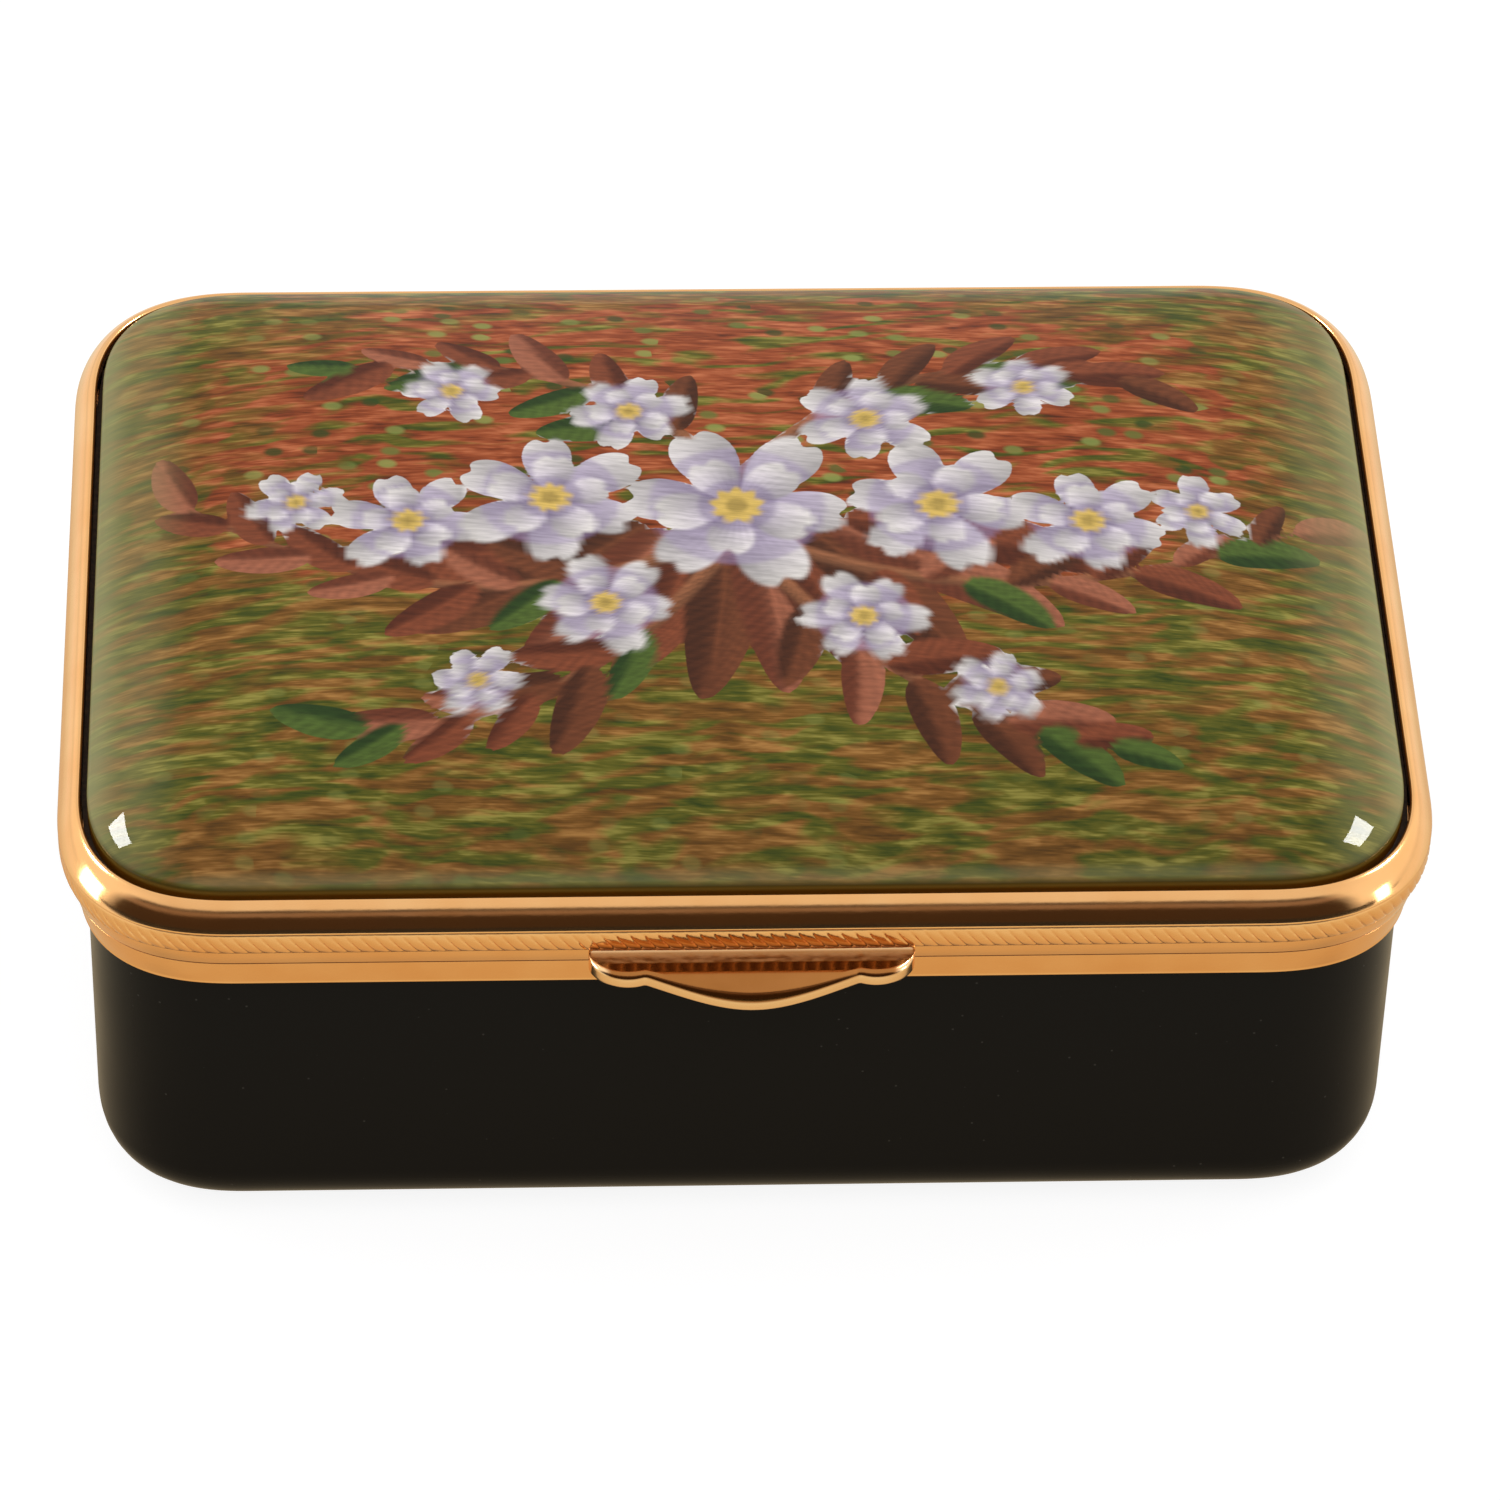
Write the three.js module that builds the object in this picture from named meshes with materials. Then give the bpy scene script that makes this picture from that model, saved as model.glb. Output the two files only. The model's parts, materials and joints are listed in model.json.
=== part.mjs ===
// A hinged enamel sweet box: a black enamelled copper body and a domed, painted enamel lid, each
// set in a gilt metal mount, joined by a knuckle hinge at the back, with a thumb-piece in front.
// Millimetres, +Z up, front towards -Y. The origin is on the table, under the middle of the box.
// An "inset" is a distance inwards, square to the widest outline of the lid's moulding.

import * as THREE from 'three';

// Widest outline, which the lid's moulding fills
const boxLength = 90.0;
const boxDepth = 63.6;
const outlineRadius = 12.2;
const cornerSquareness = 2.55;
const smallestRadius = 0.6;
const cornerSteps = 6;

// Body of the box: three fired layers, from the outside in
const bodyInset = 1.75;
const bodyWallHeight = 24.15;
const footRadius = 4.6;
const footSteps = 4;
const blackEnamelThickness = 0.4;
const bodyCopperThickness = 0.8;
const bodyLiningThickness = 0.35;
const layerGap = 0.03;

// Mount of the body: a channel that clasps the top of the wall, bedded in cement
const seatGap = 0.03;
const rimTopInset = 0.7;
const rimBottomInset = 1.24;
const rimGrip = 1.34;
const rimWebThickness = 0.65;
const rimInnerLegThickness = 0.45;
const rimInnerGrip = 0.8;
const bodyCementThickness = 0.3;
const edgeBreak = 0.15;

// Lip on the body's mount, which the lid closes over
const lipThickness = 0.6;
const lipHeight = 1.5;
const lipClearance = 0.3;
const pipRadius = 0.8;
const pipRunning = 0.08;
const pipSpacing = 36.0;
const pipHeightOnLip = 0.7;
const pipSteps = 3;

// Mount of the lid, flaring upwards: plain strip, milled rope band and rounded moulding
const partingGap = 0.1;
const stripBottomInset = 0.66;
const stripTopInset = 0.3;
const stripHeight = 1.26;
const stemInset = 0.95;
const stemThickness = 0.65;
const ropeHeight = 1.86;
const ropeBottomInset = 0.25;
const ropeTopInset = 0.08;
const ropeWidestHeight = 1.0;
const ropeSteps = 3;
const mouldingFoot = 0.26;
const mouldingFootInset = 0.02;
const mouldingRise = 1.9;
const mouldingWidth = 1.56;
const mouldingCrestInset = 1.3;
const mouldingFlatness = 1.4;
const mouldingStart = 14;
const mouldingSteps = 7;
const mouldingShoulderSteps = 3;

// Lid cap: three fired layers, from the outside in, on a retaining ring
const capInset = 2.0;
const capWallHeight = 2.2;
const domeRise = 5.0;
const domeFullness = 3.0;
const domeEdgeRoundness = 1.35;
const domeLengthSpread = 3.0;
const domeLevels = [0, 0.03, 0.08, 0.16, 0.28, 0.46, 0.7];
const paintedEnamelThickness = 0.4;
const capCopperThickness = 0.7;
const capLiningThickness = 0.3;
const retainingRingThickness = 0.6;
const retainingRingLedge = 0.4;
const capCementHeight = 0.9;

// Thumb-piece: a flat shelf that curls down to a cupid's-bow edge
const thumbWidth = 21.1;
const thumbThickness = 1.3;
const thumbBelowRope = 0.2;
const thumbShelf = 1.75;
const thumbCurlRadius = 2.4;
const thumbCentreReach = 3.59;
const thumbNotchReach = 2.02;
const thumbNotchX = 6.9;
const thumbLobeReach = 2.2;
const thumbLobeRadiusX = 2.55;
const thumbColumns = 24;
const thumbRows = 5;
const thumbRowCrowding = 1.5;

// Hinge: five knuckles on one pin, behind the mounts
const hingeLength = 26.0;
const knuckleCount = 5;
const knuckleEndGap = 0.12;
const knuckleRadius = 1.2;
const pinRadius = 0.5;
const pinClearance = 0.05;
const leafProud = 0.1;
const leafMargin = 0.1;
const hingeClearance = 0.15;
const footOffset = 0.35;
const roundSteps = 16;

// Heights that follow from the sizes above
const rimBottom = bodyWallHeight - rimGrip;
const rimWebUnder = bodyWallHeight + bodyCementThickness;
const rimTop = rimWebUnder + rimWebThickness;
const lidBottom = rimTop + partingGap;
const ropeBottom = lidBottom + stripHeight;
const seatHeight = ropeBottom + ropeHeight;
const capWallTop = seatHeight + capWallHeight;
const stemInside = stemInset + stemThickness;
const lipInset = stemInside + lipClearance;
const bodyInnerFace = bodyInset + layersDeep([blackEnamelThickness, bodyCopperThickness, bodyLiningThickness]);
const capInnerFace = capInset + layersDeep([paintedEnamelThickness, capCopperThickness, capLiningThickness]);

const gilt = { color: 0xd9a45c, roughness: 0.18, metalness: 1.0 };
const copper = { color: 0xb5694a, roughness: 0.4, metalness: 1.0 };
const blackEnamel = { color: 0x1b1a18, roughness: 0.2, metalness: 0.0 };
const paintedEnamel = { color: 0x5c5a2c, roughness: 0.12, metalness: 0.0 };
const creamEnamel = { color: 0xefe9da, roughness: 0.2, metalness: 0.0 };
const cement = { color: 0x3f2f20, roughness: 0.9, metalness: 0.0 };

// Depth of a stack of layers, with the gap between each pair.
function layersDeep(thicknesses) {
  return thicknesses.reduce((sum, value) => sum + value, 0) + layerGap * (thicknesses.length - 1);
}

// Cosine or sine of an angle, drawn out so that a quarter turn is squarer than a circle's.
function squared(value) {
  return Math.sign(value) * Math.abs(value) ** (2 / cornerSquareness);
}

// Points of a rounded rectangle at height z, anticlockwise seen from above.
function roundedRectangle(halfX, halfY, radius, z) {
  const points = [];
  const corners = [[1, 1], [-1, 1], [-1, -1], [1, -1]];
  corners.forEach(([sideX, sideY], quarter) => {
    for (let step = 0; step <= cornerSteps; step++) {
      const angle = (quarter + step / cornerSteps) * Math.PI / 2;
      const x = sideX * (halfX - radius) + radius * squared(Math.cos(angle));
      const y = sideY * (halfY - radius) + radius * squared(Math.sin(angle));
      points.push([x, y, z]);
    }
  });
  return points;
}

function outline(inset, z) {
  const radius = Math.max(outlineRadius - inset, smallestRadius);
  return roundedRectangle(boxLength / 2 - inset, boxDepth / 2 - inset, radius, z);
}

// Six times the volume inside a triangle list, which is negative when the faces point inwards.
function signedVolume(positions, index) {
  const corner = (k) => new THREE.Vector3().fromArray(positions, 3 * index[k]);
  let sum = 0;
  for (let k = 0; k < index.length; k += 3) {
    sum += corner(k).dot(corner(k + 1).cross(corner(k + 2)));
  }
  return sum;
}

function closedGeometry(positions, index) {
  const outward = signedVolume(positions, index) > 0;
  const faces = outward ? index : index.slice().reverse();
  const geometry = new THREE.BufferGeometry();
  geometry.setAttribute('position', new THREE.Float32BufferAttribute(positions, 3));
  geometry.setIndex(faces);
  geometry.computeVertexNormals();
  return geometry;
}

// Joins each outline in a list to the next one. With no poles the last joins the first, as in a
// ring; with poles, a point closes each end of the list, as in a dish.
function loft(outlines, poles = []) {
  const count = outlines[0].length;
  const positions = outlines.flat(2).concat(poles.flat());
  const index = [];
  const bands = poles.length ? outlines.length - 1 : outlines.length;
  for (let band = 0; band < bands; band++) {
    const here = band * count;
    const next = ((band + 1) % outlines.length) * count;
    for (let i = 0; i < count; i++) {
      const j = (i + 1) % count;
      index.push(here + i, here + j, next + j, here + i, next + j, next + i);
    }
  }
  poles.forEach((pole, end) => {
    const first = end === 0 ? 0 : (outlines.length - 1) * count;
    const apex = outlines.length * count + end;
    for (let i = 0; i < count; i++) {
      const j = (i + 1) % count;
      const [from, to] = end === 0 ? [j, i] : [i, j];
      index.push(first + from, first + to, apex);
    }
  });
  return closedGeometry(positions, index);
}

// A section of [inset, z] points carried round the outline.
function ringGeometry(section) {
  return loft(section.map(([inset, z]) => outline(inset, z)));
}

function addMesh(group, name, geometry, finish) {
  const mesh = new THREE.Mesh(geometry, new THREE.MeshStandardMaterial(finish));
  mesh.name = name;
  group.add(mesh);
  return mesh;
}

// Outlines of the dish face that lies depth inside the body's outer face, from mouth to floor.
function dishFace(depth) {
  const radius = Math.max(footRadius - depth, smallestRadius);
  const centreInset = bodyInset + depth + radius;
  const centreHeight = depth + radius;
  const outlines = [outline(bodyInset + depth, bodyWallHeight)];
  for (let step = 0; step <= footSteps; step++) {
    const angle = (step / footSteps) * Math.PI / 2;
    const inset = centreInset - radius * Math.cos(angle);
    outlines.push(outline(inset, centreHeight - radius * Math.sin(angle)));
  }
  return outlines;
}

function dishLayer(depth, thickness) {
  const outside = dishFace(depth).reverse();
  const inside = dishFace(depth + thickness);
  return loft([...outside, ...inside], [[0, 0, depth], [0, 0, depth + thickness]]);
}

// Rise of the dome at a share of the way from its edge (0) to its middle (1).
function domeHeight(share) {
  return domeRise * (1 - (1 - share) ** domeFullness) ** (1 / domeEdgeRoundness);
}

// Outlines of the cap face that lies depth inside the cap's outer face, from foot to crown. Near
// the edge the outlines run parallel to it; towards the crown they draw in and grow rounder.
function capFace(depth) {
  const halfX = boxLength / 2 - capInset - depth;
  const halfY = boxDepth / 2 - capInset - depth;
  const edgeRoundness = Math.max(outlineRadius - capInset - depth, smallestRadius) / halfY;
  const foot = roundedRectangle(halfX, halfY, edgeRoundness * halfY, seatHeight);
  const levels = domeLevels.map((share) => {
    const levelX = halfX - share * halfY - (halfX - halfY) * share ** domeLengthSpread;
    const levelY = halfY * (1 - share);
    const roundness = edgeRoundness + (1 - edgeRoundness) * share;
    return roundedRectangle(levelX, levelY, levelY * roundness, capWallTop - depth + domeHeight(share));
  });
  return [foot, ...levels];
}

function capLayer(depth, thickness) {
  const outside = capFace(depth).reverse();
  const inside = capFace(depth + thickness);
  const crown = capWallTop + domeHeight(1);
  return loft([...outside, ...inside], [[0, 0, crown - depth], [0, 0, crown - depth - thickness]]);
}

// Adds a stack of nested layers, each given as [name, thickness, finish], from the outside in.
function addLayers(group, makeLayer, layers) {
  let depth = 0;
  for (const [name, thickness, finish] of layers) {
    addMesh(group, name, makeLayer(depth, thickness), finish);
    depth += thickness + layerGap;
  }
}

function rimSection() {
  const channelOutside = bodyInset - seatGap;
  const channelInside = bodyInnerFace + seatGap;
  const legInside = channelInside + rimInnerLegThickness;
  return [
    [rimBottomInset + edgeBreak, rimBottom], [rimBottomInset, rimBottom + edgeBreak],
    [rimTopInset, rimTop - edgeBreak], [rimTopInset + edgeBreak, rimTop],
    [legInside, rimTop], [legInside, bodyWallHeight - rimInnerGrip],
    [channelInside, bodyWallHeight - rimInnerGrip], [channelInside, rimWebUnder],
    [channelOutside, rimWebUnder], [channelOutside, rimBottom],
  ];
}

function lipSection() {
  const top = rimTop + lipHeight;
  const inside = lipInset + lipThickness;
  return [
    [lipInset, rimTop], [lipInset, top - edgeBreak], [lipInset + edgeBreak, top],
    [inside - edgeBreak, top], [inside, top - edgeBreak], [inside, rimTop],
  ];
}

// Plain strip below, with a stem that stands up behind the rope band.
function stripSection() {
  return [
    [stripBottomInset + edgeBreak, lidBottom], [stripBottomInset, lidBottom + edgeBreak],
    [stripTopInset, ropeBottom], [stemInset, ropeBottom], [stemInset, seatHeight],
    [stemInside, seatHeight], [stemInside, lidBottom],
  ];
}

// Inset of the rope band's rounded face at a height above its foot: none where it is widest.
function ropeFaceInset(height) {
  const below = height < ropeWidestHeight;
  const reach = below ? ropeWidestHeight : ropeHeight - ropeWidestHeight;
  const share = (height - ropeWidestHeight) / reach;
  return (below ? ropeBottomInset : ropeTopInset) * share * share;
}

function ropeSection() {
  const inside = stemInset - seatGap;
  const upperReach = ropeHeight - ropeWidestHeight;
  const section = [];
  for (let step = 0; step < ropeSteps; step++) {
    const height = (step / ropeSteps) * ropeWidestHeight;
    section.push([ropeFaceInset(height), ropeBottom + height]);
  }
  for (let step = 0; step <= ropeSteps; step++) {
    const height = ropeWidestHeight + (step / ropeSteps) * upperReach;
    section.push([ropeFaceInset(height), ropeBottom + height]);
  }
  return [...section, [inside, seatHeight], [inside, ropeBottom]];
}

// Point of the moulding's outer arch at a share of the way from its foot (0) to its crest (1). It
// follows powers of the cosine and sine of an angle that starts a little above level.
function mouldingArchPoint(share) {
  const start = THREE.MathUtils.degToRad(mouldingStart);
  const angle = start + share * (Math.PI / 2 - start);
  const across = (Math.cos(angle) / Math.cos(start)) ** mouldingFlatness;
  const lowest = Math.sin(start) ** mouldingFlatness;
  const up = (Math.sin(angle) ** mouldingFlatness - lowest) / (1 - lowest);
  const height = mouldingFoot + (mouldingRise - mouldingFoot) * up;
  return [mouldingCrestInset * (1 - across), seatHeight + height];
}

// Low upright foot, then a smooth arch to the crest, then a quarter round down into the groove.
function mouldingSection() {
  const section = [[mouldingFootInset, seatHeight]];
  for (let step = 0; step <= mouldingSteps; step++) {
    section.push(mouldingArchPoint(step / mouldingSteps));
  }
  const radius = mouldingWidth - mouldingCrestInset;
  for (let step = 1; step <= mouldingShoulderSteps; step++) {
    const angle = (step / mouldingShoulderSteps) * Math.PI / 2;
    const drop = radius * (1 - Math.cos(angle));
    section.push([mouldingCrestInset + radius * Math.sin(angle), seatHeight + mouldingRise - drop]);
  }
  section.push([mouldingWidth, seatHeight]);
  return section;
}

function rectangleSection(outsideInset, insideInset, low, high) {
  return [[outsideInset, low], [outsideInset, high], [insideInset, high], [insideInset, low]];
}

// Inset of the plain strip's sloping face at height z.
function stripFaceInset(z) {
  const share = (z - lidBottom) / stripHeight;
  return stripBottomInset + (stripTopInset - stripBottomInset) * share;
}

// Plan reach of the thumb-piece beyond the rope band's lower edge, at x: a shallow arc between
// two notches, with an oval lobe outside each notch.
function thumbReach(x) {
  const share = x / thumbNotchX;
  const arc = thumbNotchReach + (thumbCentreReach - thumbNotchReach) * (1 - share * share);
  const lobeX = (Math.abs(x) - (thumbWidth / 2 - thumbLobeRadiusX)) / thumbLobeRadiusX;
  const lobe = thumbLobeReach * Math.sqrt(Math.max(0, 1 - lobeX * lobeX));
  return Math.abs(x) < thumbNotchX ? Math.max(arc, lobe) : lobe;
}

// Drop of the thumb-piece's top at a reach beyond the rope band: flat, then an arc.
function thumbDrop(reach) {
  const along = Math.min(Math.max(reach - thumbShelf, 0), thumbCurlRadius);
  return thumbCurlRadius - Math.sqrt(thumbCurlRadius ** 2 - along ** 2);
}

// Points of one face of the thumb-piece at x, from the strip out to the edge, lowered by depth. A
// face below the strip starts as far out as the strip's foot, clear of the body's mount.
function thumbFace(x, depth) {
  const level = ropeBottom - thumbBelowRope - depth;
  const start = ropeBottomInset - stripFaceInset(Math.max(level, lidBottom)) + seatGap;
  const length = thumbReach(x) - start;
  const face = [];
  for (let row = 0; row <= thumbRows; row++) {
    const reach = start + length * (1 - (1 - row / thumbRows) ** thumbRowCrowding);
    face.push([x, ropeBottomInset - boxDepth / 2 - reach, level - thumbDrop(reach)]);
  }
  return face;
}

// Each column is a closed loop: out along the top from the strip to the edge, and back below.
function thumbGeometry() {
  const loops = [];
  for (let column = 0; column <= thumbColumns; column++) {
    const x = -Math.cos((column / thumbColumns) * Math.PI) * thumbWidth / 2;
    loops.push([...thumbFace(x, 0), ...thumbFace(x, thumbThickness).reverse()]);
  }
  const middle = (loop) => [0, 1, 2].map((k) => loop.reduce((sum, point) => sum + point[k], 0) / loop.length);
  return loft(loops, [middle(loops[0]), middle(loops[thumbColumns])]);
}

// Low round button, which stands out of the lip by its clearance to the lid, less a running gap.
function snapPipGeometry() {
  const proud = lipClearance - pipRunning;
  const section = [new THREE.Vector2(0, 0)];
  for (let step = 0; step < pipSteps; step++) {
    const angle = (step / pipSteps) * Math.PI / 2;
    section.push(new THREE.Vector2(pipRadius * Math.cos(angle), proud * Math.sin(angle)));
  }
  section.push(new THREE.Vector2(0, proud));
  return new THREE.LatheGeometry(section, roundSteps);
}

// Turns a shape drawn in the YZ plane and extruded by length into its place along X.
function extrudeAlongX(shape, length, x) {
  const settings = { depth: length, bevelEnabled: false, curveSegments: roundSteps };
  const geometry = new THREE.ExtrudeGeometry(shape, settings);
  const alongY = new THREE.Vector3(0, 1, 0);
  const alongZ = new THREE.Vector3(0, 0, 1);
  const alongX = new THREE.Vector3(1, 0, 0);
  geometry.applyMatrix4(new THREE.Matrix4().makeBasis(alongY, alongZ, alongX));
  return geometry.translate(x, 0, 0);
}

const backFace = boxDepth / 2;
const leafFace = backFace + leafProud;
const axisY = leafFace + knuckleRadius + hingeClearance;
const axisZ = (rimTop + lidBottom) / 2;

// Knuckle tube with a foot that bears on its leaf: side is 1 for the lid, whose feet lie above
// the axis, and -1 for the body, whose feet lie below it.
function knuckleShape(side) {
  const footStart = Math.PI - Math.asin(footOffset / knuckleRadius);
  const shape = new THREE.Shape();
  shape.moveTo(leafFace, axisZ + side * footOffset);
  shape.absarc(axisY, axisZ, knuckleRadius, side * footStart, side * 2.5 * Math.PI, side < 0);
  shape.lineTo(leafFace, axisZ + side * knuckleRadius);
  shape.closePath();
  const bore = new THREE.Path();
  bore.absarc(axisY, axisZ, pinRadius + pinClearance, 0, 2 * Math.PI, false);
  shape.holes.push(bore);
  return shape;
}

// Hinge leaf between two heights: flat outside, and against the mount's sloping face inside.
function leafGeometry(low, high, lowInset, highInset) {
  const shape = new THREE.Shape();
  shape.moveTo(backFace - lowInset + seatGap, low);
  shape.lineTo(leafFace, low);
  shape.lineTo(leafFace, high);
  shape.lineTo(backFace - highInset + seatGap, high);
  shape.closePath();
  return extrudeAlongX(shape, hingeLength, -hingeLength / 2);
}

// Odd places along the pin belong to the body and even ones to the lid.
function addKnuckles(bodyGroup, lidGroup) {
  const pitch = hingeLength / knuckleCount;
  for (let place = 0; place < knuckleCount; place++) {
    const onBody = place % 2 === 0;
    const x = -hingeLength / 2 + place * pitch + knuckleEndGap / 2;
    const geometry = extrudeAlongX(knuckleShape(onBody ? -1 : 1), pitch - knuckleEndGap, x);
    const name = `${onBody ? 'body' : 'lid'}_knuckle_${Math.floor(place / 2) + 1}`;
    addMesh(onBody ? bodyGroup : lidGroup, name, geometry, gilt);
  }
}

const bodyGroup = new THREE.Group();
addLayers(bodyGroup, dishLayer, [
  ['body_black_enamel', blackEnamelThickness, blackEnamel],
  ['body_copper', bodyCopperThickness, copper],
  ['body_lining_enamel', bodyLiningThickness, creamEnamel],
]);
const bodyCementSection = rectangleSection(bodyInset, bodyInnerFace, bodyWallHeight, rimWebUnder);
addMesh(bodyGroup, 'body_rim_cement', ringGeometry(bodyCementSection), cement);
addMesh(bodyGroup, 'body_rim', ringGeometry(rimSection()), gilt);
addMesh(bodyGroup, 'body_lip', ringGeometry(lipSection()), gilt);
for (const [name, side] of [['snap_pip_left', -1], ['snap_pip_right', 1]]) {
  const pip = addMesh(bodyGroup, name, snapPipGeometry(), gilt);
  pip.position.set(side * pipSpacing / 2, -(boxDepth / 2 - lipInset), rimTop + pipHeightOnLip);
  pip.rotation.x = Math.PI;
}

const lidGroup = new THREE.Group();
addLayers(lidGroup, capLayer, [
  ['lid_painted_enamel', paintedEnamelThickness, paintedEnamel],
  ['lid_copper', capCopperThickness, copper],
  ['lid_lining_enamel', capLiningThickness, creamEnamel],
]);
const ringLow = seatHeight - retainingRingThickness;
const ringInside = capInnerFace + retainingRingLedge;
const ringSection = rectangleSection(stemInside + seatGap, ringInside, ringLow, seatHeight);
const grooveOutside = mouldingWidth + seatGap;
const capCementTop = seatHeight + capCementHeight;
const capCementSection = rectangleSection(grooveOutside, capInset - seatGap, seatHeight, capCementTop);
addMesh(lidGroup, 'lid_retaining_ring', ringGeometry(ringSection), gilt);
addMesh(lidGroup, 'lid_cap_cement', ringGeometry(capCementSection), cement);
addMesh(lidGroup, 'lid_plain_strip', ringGeometry(stripSection()), gilt);
addMesh(lidGroup, 'lid_rope_band', ringGeometry(ropeSection()), gilt);
addMesh(lidGroup, 'lid_moulding', ringGeometry(mouldingSection()), gilt);
addMesh(lidGroup, 'thumb_piece', thumbGeometry(), gilt);

const bodyLeafLow = rimBottom + edgeBreak;
const bodyLeafHigh = rimTop - edgeBreak;
const bodyLeaf = leafGeometry(bodyLeafLow, bodyLeafHigh, rimBottomInset, rimTopInset);
const lidLeafLow = lidBottom + edgeBreak;
const lidLeafHigh = ropeBottom - leafMargin;
const lidLeafInsets = [lidLeafLow, lidLeafHigh].map(stripFaceInset);
const lidLeaf = leafGeometry(lidLeafLow, lidLeafHigh, ...lidLeafInsets);
addMesh(bodyGroup, 'body_hinge_leaf', bodyLeaf, gilt);
addMesh(lidGroup, 'lid_hinge_leaf', lidLeaf, gilt);
addKnuckles(bodyGroup, lidGroup);
const pinGeometry = new THREE.CylinderGeometry(pinRadius, pinRadius, hingeLength, roundSteps);
const pin = addMesh(bodyGroup, 'hinge_pin', pinGeometry, gilt);
pin.position.set(0, axisY, axisZ);
pin.rotation.z = Math.PI / 2;

const group = new THREE.Group();
group.add(bodyGroup, lidGroup);

export default group;
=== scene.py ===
"""Looks of a hinged enamel sweet box: black enamel body, painted domed lid and gilt mounts.

Sizes are in millimetres and repeat those of the part's source. Meshes are written in metres. The front faces
-Y. An inset is a distance inwards from the widest outline of the lid's moulding, and a section is a list of
(inset, height) points.
"""

import json

import bpy
import numpy as np
from mathutils import Matrix

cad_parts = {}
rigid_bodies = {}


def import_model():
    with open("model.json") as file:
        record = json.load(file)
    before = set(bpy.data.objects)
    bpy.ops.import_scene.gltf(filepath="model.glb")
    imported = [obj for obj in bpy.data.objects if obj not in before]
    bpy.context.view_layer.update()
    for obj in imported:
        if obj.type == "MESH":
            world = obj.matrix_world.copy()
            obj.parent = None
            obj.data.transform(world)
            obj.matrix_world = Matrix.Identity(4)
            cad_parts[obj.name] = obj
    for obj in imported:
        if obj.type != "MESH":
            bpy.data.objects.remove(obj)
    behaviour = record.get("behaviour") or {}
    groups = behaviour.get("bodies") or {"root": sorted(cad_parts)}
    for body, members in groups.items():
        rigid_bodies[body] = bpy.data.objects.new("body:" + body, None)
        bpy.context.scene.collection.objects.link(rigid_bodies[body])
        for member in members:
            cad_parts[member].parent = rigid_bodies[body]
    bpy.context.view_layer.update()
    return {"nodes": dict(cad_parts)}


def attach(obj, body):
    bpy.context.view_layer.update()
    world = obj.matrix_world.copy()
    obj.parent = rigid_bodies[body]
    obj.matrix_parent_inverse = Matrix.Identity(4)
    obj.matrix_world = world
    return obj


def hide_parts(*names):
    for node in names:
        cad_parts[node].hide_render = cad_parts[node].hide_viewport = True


MM = 0.001

# Widest outline
BOX_LENGTH = 90.0
BOX_DEPTH = 63.6
OUTLINE_RADIUS = 12.2
CORNER_SQUARENESS = 2.55
SMALLEST_RADIUS = 0.6

# Steps on each corner and along each side of a walk round the outline
PLAIN_STEPS = 40, 24
ROPE_STEPS = 60, 60
MOULDING_STEPS = 56, 30
DOME_STEPS = 84, 76

# Body
BODY_INSET = 1.75
WALL_HEIGHT = 24.15
WALL_STEPS = 5
FOOT_RADIUS = 4.6
FOOT_STEPS = 14
FLOOR_INSETS = 14.0, 24.0
BLACK_ENAMEL = 0.4
BODY_COPPER = 0.8
BODY_LINING = 0.35
LAYER_GAP = 0.03

# Body's mount and lip
SEAT_GAP = 0.03
RIM_TOP_INSET = 0.7
RIM_BOTTOM_INSET = 1.24
RIM_BOTTOM = 22.84
RIM_TOP = 25.1
RIM_FLARE = 0.08
RIM_FLARE_HEIGHT = 0.2
RIM_INNER_LEG = 0.45
RIM_INNER_GRIP = 0.8
CEMENT = 0.3
LIP_HEIGHT = 1.5
LIP_THICKNESS = 0.6
LIP_CLEARANCE = 0.3
PIP_RADIUS = 0.8
PIP_PROUD = 0.22
PIP_SPACING = 36.0
PIP_HEIGHT = 0.7

# Lid's mount: plain strip, milled rope band, moulding and retaining ring
LID_BOTTOM = 25.2
STRIP_BOTTOM_INSET = 0.66
STRIP_TOP_INSET = 0.3
ROPE_BOTTOM = 26.46
STEM_INSET = 0.95
STEM_INSIDE = 1.6
SEAT_HEIGHT = 28.32
ROPE_BOTTOM_INSET = 0.25
ROPE_TOP_INSET = 0.08
ROPE_WIDEST_HEIGHT = 1.0
ROPE_CUTS = 319
ROPE_CUT_DEPTH = 0.09
ROPE_CUT_LEAN = 1.2
MOULDING_FOOT = 0.06
MOULDING_FOOT_INSET = 0.02
MOULDING_RISE = 1.87
MOULDING_WIDTH = 1.56
MOULDING_CREST_INSET = 1.33
MOULDING_FLATNESS = 1.37
MOULDING_START = 14.0
MOULDING_ARCH_STEPS = 26
MOULDING_FALL_STEPS = 8
RING_THICKNESS = 0.6
RING_LEDGE = 0.4

# Lid cap
CAP_INSET = 2.0
CAP_WALL_TOP = 30.52
DOME_RISE = 5.0
DOME_FULLNESS = 3.0
DOME_EDGE_ROUNDNESS = 1.35
DOME_LENGTH_SPREAD = 3.0
EDGE_CROWDING = 3.0
EDGE_CROWDING_RATE = 60
PAINTED_ENAMEL = 0.4
CAP_COPPER = 0.7
CAP_LINING = 0.3

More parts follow.
